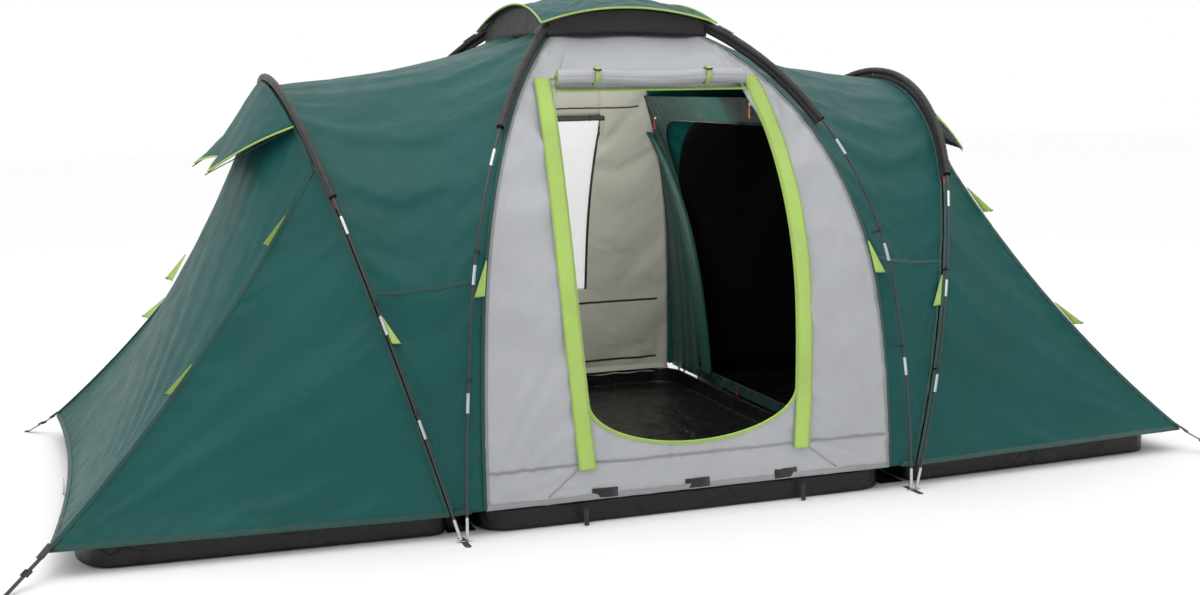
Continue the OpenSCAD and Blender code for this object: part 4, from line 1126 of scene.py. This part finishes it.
def wall_loop(n):
    k = len(d_loop(n)) - 3 * n
    up, down = mix(PART_LOW, PART_TOP, run(n)), mix(PART_TOP, PART_LOW, run(n))
    yb, yt = part_y(PART_LOW), part_y(PART_TOP)
    return np.concatenate([points(mix(-yb, yb, run(n)), PART_LOW), points(part_y(up), up),
                           points(np.linspace(yt, -yt, k), PART_TOP), points(-part_y(down), down)])


def arch_pt(sx, k, u):
    """k runs from 0 at the bedroom wall to the far end, u from one side over the top to the other."""
    rows = np.array(ARCHES)
    a = [np.interp(k, np.arange(len(rows)), rows[:, c]) for c in range(5)]
    t = math.pi / 2 * (u + 1)
    c, h = np.cos(t), np.maximum(0, np.sin(t)) ** 0.8
    return points(sx * (mix(a[0], a[1], h) + a[4] * 4 * h * (1 - h)), -a[2] * np.sign(c) * np.abs(c) ** 0.8,
                  mix(0.092, a[3], h))


for side, sx in SIDES:
    t = np.linspace(0, 1, 15)[:, None, None]
    g = mix(d_loop(D_POINTS)[None], wall_loop(D_POINTS)[None], t)
    p = part_pt(sx, g[..., 0], g[..., 1])
    y = p[..., 1]
    fall = np.clip((1.7 - g[..., 1]) / 0.8, 0.3, 1)
    folds = 0.005 * np.sin(y * 52 + 2 * np.sin(y * 7)) * fall + 0.003 * np.sin(y * 91 + p[..., 2] * 3)
    hang_sheet(f"bedroom_screen_{side}", p, inner_cloth, "inner_green", [f"bedroom_wall_{side}"],
               folds=folds, around=True, thick=0.001, cap=0,
               flat=(2 * float(part_y(PART_LOW)), PART_TOP - PART_LOW))
    q = arch_pt(sx, np.linspace(0, 4, 60)[:, None], np.linspace(-1, 1, 120)[None])
    hang_sheet(f"bedroom_lining_{side}", q, dark_cloth, "inner_black", [f"bedroom_cabin_{side}"],
               folds=ripples(q, 0.25, 0.006, 100 + sx), thick=0.001, cap=0)
    s = each(60)[:, None]
    r = mix(0.026, 0.062, np.sin(math.radians(150) * s))
    m = np.linspace(-1, 1, 150)[None]
    zig = np.sin(m * 34 + 3 * s) * np.sqrt(1 - 0.92 * m * m)
    centre = part_pt(sx, mix(0.860, 0.590, s ** 0.8), mix(1.480, 0.150, s), 0.044)
    q = centre + points(0.44 * r * zig, 0.98 * r * m + 0.06 * r * np.cos(m * 34 + 3 * s), 0 * s * m)
    hang_sheet(f"bedroom_door_{side}", q, inner_cloth, "inner_green", [f"bedroom_flap_{side}"],
               thick=0.0008, cap=0)

# %% Bedroom edges
edge = Shell("doorway_bindings")
for side, sx in SIDES:
    q = d_loop(D_POINTS, -0.004)
    line = part_pt(sx, q[:, 0], q[:, 1])
    edge.tube(np.concatenate([line, line[:1]]), 0.0035, 8)
    for sy in (-1, 1):
        ww = each(80, 0.11, PART_TOP)
        edge.strap(part_pt(sx, sy * (part_y(ww) - 0.006), ww, 0.004), [0, 1, 0], 0.012, 0.0012)
edge.make(black_tape, "black_fabric")
print("bedrooms made")

# %% [markdown]
# ## Groundsheets
# Each floor is a tray of black polyethylene: it lies flat but never quite smooth, and its sides stand
# up a hand's width to keep water out. The tray is drawn as rings that spread from the middle to the
# rounded outline and then climb the side, and the creases are pressed in as small heights.
# %% Groundsheets
TUB_H, TUB_Y, LIVING_X, CUT = 0.086, 1.165, 0.850, 0.070
FLAT_RINGS, SIDE_RINGS = 44, 9
BED_IN, BED_OUT = 0.965, 2.265


def rounded(outline, n=260):
    q = np.asarray(outline, float)
    for _ in range(3):
        nxt = np.roll(q, -1, 0)
        q = np.stack([mix(q, nxt, 0.25), mix(q, nxt, 0.75)], 1).reshape(-1, 2)
    q = np.concatenate([q, q[:1]])
    d = travelled(gaps(q))
    t = np.linspace(0, d[-1], n, endpoint=False)
    return np.stack([np.interp(t, d, q[:, k]) for k in (0, 1)], 1)


def dense(corners, step=0.12):
    out = []
    for a, b in zip(corners, corners[1:] + corners[:1]):
        a, b = np.array(a), np.array(b)
        k = max(1, int(np.linalg.norm(b - a) / step))
        out += [mix(a, b, i / k) for i in range(k)]
    return out


def tray(name, corners, replaces, seed):
    rim = rounded(dense(corners))
    mid = (rim.min(0) + rim.max(0)) / 2
    rim = mid + (rim - mid) * 0.9985
    rings = [points((mid + (rim - mid) * k)[:, 0], (mid + (rim - mid) * k)[:, 1], 0.0030)
             for k in np.linspace(0.01, 0.995, FLAT_RINGS)]
    rng = np.random.default_rng(seed)
    away = (rim - mid) / np.linalg.norm(rim - mid, axis=1, keepdims=True)
    turn = np.linspace(0, 2 * math.pi, len(rim), endpoint=False)
    for z in np.linspace(0.006, TUB_H, SIDE_RINGS):
        slack = 0.0035 * (z / TUB_H) * sum(np.sin(turn * f + rng.uniform(0, 6)) for f in (17, 29, 53)) / 2
        q = rim + away * (np.minimum(0, slack) - 0.001)[:, None]
        rings.append(points(q[:, 0], q[:, 1], z))
    p = np.stack(rings)
    lift = np.zeros(p.shape[:2])
    for _ in range(16):
        k = rng.normal(size=2) * rng.uniform(6, 26)
        wave = np.sin(p[..., 0] * k[0] + p[..., 1] * k[1] + rng.uniform(0, 6))
        lift += (1 - np.abs(wave)) ** 5 * rng.uniform(0.2, 1)
    shape = p.copy()
    near_edge = np.clip((FLAT_RINGS - np.arange(FLAT_RINGS)) / 3, 0, 1)[:, None]
    shape[:FLAT_RINGS, :, 2] += 0.0035 * lift[:FLAT_RINGS] * near_edge
    o = Shell(name).grid(shape, around=True).make(floor_cloth, "groundsheet_black", thick=0.0010,
                                                  replaces=replaces)
    declare(o, p, around=True,
            flat=(float(np.ptp(rim[:, 0]) + 2 * TUB_H), float(np.ptp(rim[:, 1]) + 2 * TUB_H)))


def joiner(name, line, width, across):
    """Flat cloth that closes the gap beside a tray, laid along line."""
    p = np.stack([line + np.array(across) * width * k for k in (0.0, 0.5, 1.0)])
    hang_sheet(name, p, floor_cloth, "groundsheet_black", [],
               thick=0.0008, cap=0)


tray("living_floor",
     [(-LIVING_X, -TUB_Y + CUT), (-LIVING_X + CUT, -TUB_Y), (LIVING_X - CUT, -TUB_Y),
      (LIVING_X, -TUB_Y + CUT), (LIVING_X, TUB_Y - CUT), (LIVING_X - CUT, TUB_Y),
      (-LIVING_X + CUT, TUB_Y), (-LIVING_X, TUB_Y - CUT)],
     ["groundsheet_living"], 7)
for side, sx in SIDES:
    c = [(BED_IN, -1.125), (BED_OUT - CUT, -1.070), (BED_OUT, -1.070 + 2 * CUT), (BED_OUT, 1.070 - 2 * CUT),
         (BED_OUT - CUT, 1.070), (BED_IN, 1.125)]
    tray(f"bedroom_floor_{side}", [(sx * a, b) for a, b in c], [f"groundsheet_{side}"], 8 + sx)

for side, sx in SIDES:
    y = each(40, -1.10, 1.10)
    joiner(f"floor_joiner_{side}", points(sx * (LIVING_X + 0.004), y, 0.0020 + 0.0010 * np.sin(y * 31)),
           BED_IN - LIVING_X - 0.008, [sx, 0, 0])
x = each(60, -0.83, 0.83)
top, foot = wall_pt(1, x, 0.112, HANG + 0.004), points(x, TUB_Y - 0.006, 0.070 + 0.003 * np.sin(x * 40))
p = mix(top[None], foot[None], np.linspace(0, 1, 6)[:, None, None])
hang_sheet("back_hem_skirt", p, beige_cloth, "beige_fly", [],
           thick=0.0008, cap=0)

# %% [markdown]
# ## Straps, loops and tabs
# Webbing carries the loads: from each corner to its peg, from the floors to the pole feet, and in small
# loops round the hem. It is woven flat tape, so it is built as a flat section swept along its path.
# Where a peg passes through, a pressed ring lines the hole.
# %% Rings and webbing
PEG_R, STRAP_W, STRAP_T = 0.00425, 0.020, 0.0016


def ring(shell, centre, inner, outer, height, n=40):
    a = np.arange(n) * 2 * math.pi / n
    e = 0.22 * (outer - inner)
    section = [(inner, e), (inner + e, 0), (outer - e, 0), (outer, e), (outer, height - e),
               (outer - e, height), (inner + e, height), (inner, height - e)]
    p = np.stack([points(centre[0] + r * np.cos(a), centre[1] + r * np.sin(a), centre[2] + z)
                  for r, z in section])
    return shell.grid(np.concatenate([p, p[:1]]), around=True)


webbing = Shell("webbing_straps")
rings = Shell("strap_rings")
for sx in (-1, 1):
    for sy in (-1, 1):
        top = np.array([sx * (CORNER[0] + 0.012), sy * (CORNER[1] + 0.012), HEM_Z - 0.008])
        end = np.array([sx * (CORNER[0] + 0.135), sy * (CORNER[1] + 0.135), 0.004])
        line = resample(np.array([top, end]), 24)
        side_way = np.cross(end - top, [0, 0, 1.0])
        side_way /= np.linalg.norm(side_way)
        up = np.cross(side_way, (end - top) / np.linalg.norm(end - top))
        webbing.strap(line + up * STRAP_T / 2, side_way, STRAP_W, STRAP_T)
        patch = resample(np.array([top + (top - end) * 0.22 + [0, 0, 0.006], top + (end - top) * 0.10]), 8)
        webbing.strap(patch + up * 0.004, side_way, 0.034, 0.0022)
        ring(rings, end + 0.011 * np.array([sx, sy, 0]) / math.sqrt(2) - [0, 0, 0.004], PEG_R, 0.012, 0.005)
        x, y0, y1 = sx * (FOOT_X + FOOT_GAP / 2), sy * (TUB_Y + 0.004), sy * (FOOT_Y + 0.0425)
        webbing.strap(resample(np.array([[x, y0, 0.0008], [x, y1, 0.0008]]), 14), [1, 0, 0], 0.025, STRAP_T)
        ring(rings, [x, sy * (FOOT_Y + 0.052), 0.0], PEG_R, 0.0125, 0.0022)
        s, z = on_pole(MAIN, np.linspace(MAIN_HALF - 0.735, MAIN_HALF - 0.658, 14), -0.0308)
        tape = points(sx * DIAG_X * s, sy * DIAG_Y * s, z)
        webbing.strap(tape, [-sx * DIAG_Y, sy * DIAG_X, 0] if sx * sy < 0 else [sx * DIAG_Y, -sy * DIAG_X, 0],
                      0.018, 0.0016)
for x, y, turn in ((-0.452, -1.190, 90), (0.452, -1.190, 90), (-0.452, 1.190, -90), (0.452, 1.190, -90),
                   (-2.298, 0, 0), (2.298, 0, 180)):
    a = math.radians(turn)
    out, side_way = np.array([math.cos(a), math.sin(a), 0]), np.array([-math.sin(a), math.cos(a), 0])
    path = np.array([(-7.3, 68), (-7.3, 50), (-7.4, 30), (-7.8, 14), (-9.2, 4), (-11.5, 1.4), (-13.4, 3.2),
                     (-13.2, 9), (-10.6, 16), (-8.8, 26), (-8.6, 40)]) / 1000
    line = np.array([x, y, 0]) + path[:, :1] * out + path[:, 1:] * [0, 0, 1]
    webbing.strap(resample(line, 40), side_way, 0.018, 0.0012)
webbing = webbing.make(black_tape, "black_webbing",
                       replaces=["corner_straps", "foot_webbing", "peg_loops", "cap_tapes"])
rings.make(finishes["black_plastic"], "black_plastic")
ribbons = Shell("red_ribbons")
for sx in (-1, 1):
    for sy in (-1, 1):
        ww = np.linspace(HOOP_SLEEVE_W - 0.036, HOOP_SLEEVE_W + 0.004, 10)
        ribbons.strap(hoop_pt(sx, sy, ww, 0.024), [1, 0, 0], 0.010, 0.0012)
ribbons.make(red_tape, "red_tape", replaces=["sleeve_ribbons"])

# %% [markdown]
# Guy points are bright triangles sewn into a seam along one edge, with a short black cord loop at the
# free tip for the line. Each bends a little out of its plane, as stiff doubled cloth does.
# %% Guy tabs
tabs, loops = Shell("guy_triangles"), Shell("guy_cord_loops")


def tab(p, down, out):
    p, down, out = np.asarray(p, float), np.asarray(down, float), np.asarray(out, float)
    down, out = down / np.linalg.norm(down), out / np.linalg.norm(out)
    q = p + 0.130 * down
    tip = q + 0.004 * down + 0.042 * out
    s, t = each(16)[:, None, None], np.linspace(0, 1, 7)[None, :, None]
    base = mix(p, q, s)
    free = mix(p + 0.005 * out, tip, s)
    n = np.cross(down, out)
    g = mix(base, free, t) + n * 0.004 * np.sin(math.pi * t) * s
    tabs.grid(g)
    a = np.linspace(0, 2 * math.pi, 20)[:, None]
    c = tip - 0.006 * out
    loops.tube(c + 0.007 * (np.cos(a) * out + np.sin(a) * n), 0.0014, 6)


for sx in (-1, 1):
    for sy in (-1, 1):
        for s in (0.13, 0.51):
            r = ridge(sx, sy, s)
            tab(r + [sx * 0.006, sy * 0.006, 0.007], ridge(sx, sy, s + 0.05) - r, [sx * 0.5, sy * 0.8, 0.3])
        a, b = (wall_pt(sy, sx * seam_x(v), v, HANG - 0.010) for v in (1.030, 0.900))
        tab(a, b - a, [sx, sy * 0.15, 0])
        a, b = (hoop_pt(sx, sy, v, HANG - 0.010) for v in (0.905, 0.775))
        tab(a, b - a, [-sx, sy * 0.25, 0])
    a, b = (end_pt(sx, np.array([0.25]), np.array([v]))[0] for v in (0.42, 0.50))
    tab(a + [sx * 0.008, 0, 0.008], b - a, [sx * 0.5, 0.8, 0.4])
tabs.make(lime_tape, "lime_fabric", thick=0.0012, replaces=["guy_tabs"])
loops.make(black_tape, "black_webbing")
print("straps, loops and tabs made")

# %% [markdown]
# ## Stage, light and camera
# The tent stands on a plain pale floor in soft studio light: one broad light overhead, a weaker one
# from the left, a faint one in front, and a small one inside for the daylight that tent cloth lets in.
# That one is kept well below the roof, because a lamp disc that touches the cloth shines through it.
# %% Stage
scene.view_settings.view_transform = "Standard"
bpy.ops.mesh.primitive_plane_add(size=60, location=(0, 0, 0))
floor = bpy.context.object
floor.name = "studio_floor"
paper = bpy.data.materials.new("studio paper")
paper.use_nodes = True
set_shader(paper.node_tree.nodes["Principled BSDF"], Base_Color=(0.9, 0.9, 0.9, 1), Roughness=0.9)
floor.data.materials.append(paper)
world = bpy.data.worlds.new("studio")
world.use_nodes = True
world.node_tree.nodes["Background"].inputs[0].default_value = (1, 1, 1, 1)
g = Graph(world.node_tree)
height = g.split(g.node("ShaderNodeTexCoord", "way").outputs["Generated"])[2]
sky = g.math("ADD", g.math("MAXIMUM", height, 0.0), 0.43)
seen = g.node("ShaderNodeLightPath", "seen").outputs["Is Camera Ray"]
g.into(world.node_tree.nodes["Background"].inputs[1], g.math("MAXIMUM", sky, seen))
scene.world = world


def soft_light(name, place, toward, size, watts, tone=(1, 1, 1)):
    data = bpy.data.lights.new(name, "AREA")
    data.shape, data.size, data.energy, data.color = "DISK", size, watts, tone
    o = bpy.data.objects.new(name, data)
    scene.collection.objects.link(o)
    o.visible_camera = False
    o.location = place
    o.rotation_mode = "QUATERNION"
    o.rotation_quaternion = (Vector(toward) - Vector(place)).to_track_quat("-Z", "Y")
    return o


soft_light("overhead", (-1.5, -2.5, 6.5), (0, 0, 0.6), 5.0, 100)
soft_light("left side", (-7.0, -3.0, 3.2), (-1, 0, 0.8), 3.0, 34)
soft_light("front", (1.0, -9.0, 3.0), (0.5, 0, 0.8), 4.0, 8)
soft_light("inside", (0.1, -0.30, 1.42), (0.0, 1.0, 0.8), 0.5, 16, (1.0, 0.99, 0.96))

# %% Camera
eye, yaw, pitch, roll, focal = Vector((-2.153, -6.263, 1.647)), 0.3354, 0.1455, -0.0127, 1473.0
ahead = Vector((math.sin(yaw) * math.cos(pitch), math.cos(yaw) * math.cos(pitch), -math.sin(pitch)))
right = Vector((math.cos(yaw), -math.sin(yaw), 0))
up = right.cross(ahead)
right, up = right * math.cos(roll) + up * math.sin(roll), up * math.cos(roll) - right * math.sin(roll)
camera = bpy.data.objects.new("camera", bpy.data.cameras.new("camera"))
scene.collection.objects.link(camera)
camera.matrix_world = Matrix([[right[k], up[k], -ahead[k], eye[k]] for k in range(3)] + [[0, 0, 0, 1]])
camera.data.lens, camera.data.sensor_width = focal * 36 / 1200, 36
camera.data.clip_start, camera.data.clip_end = 0.05, 200
scene.camera = camera
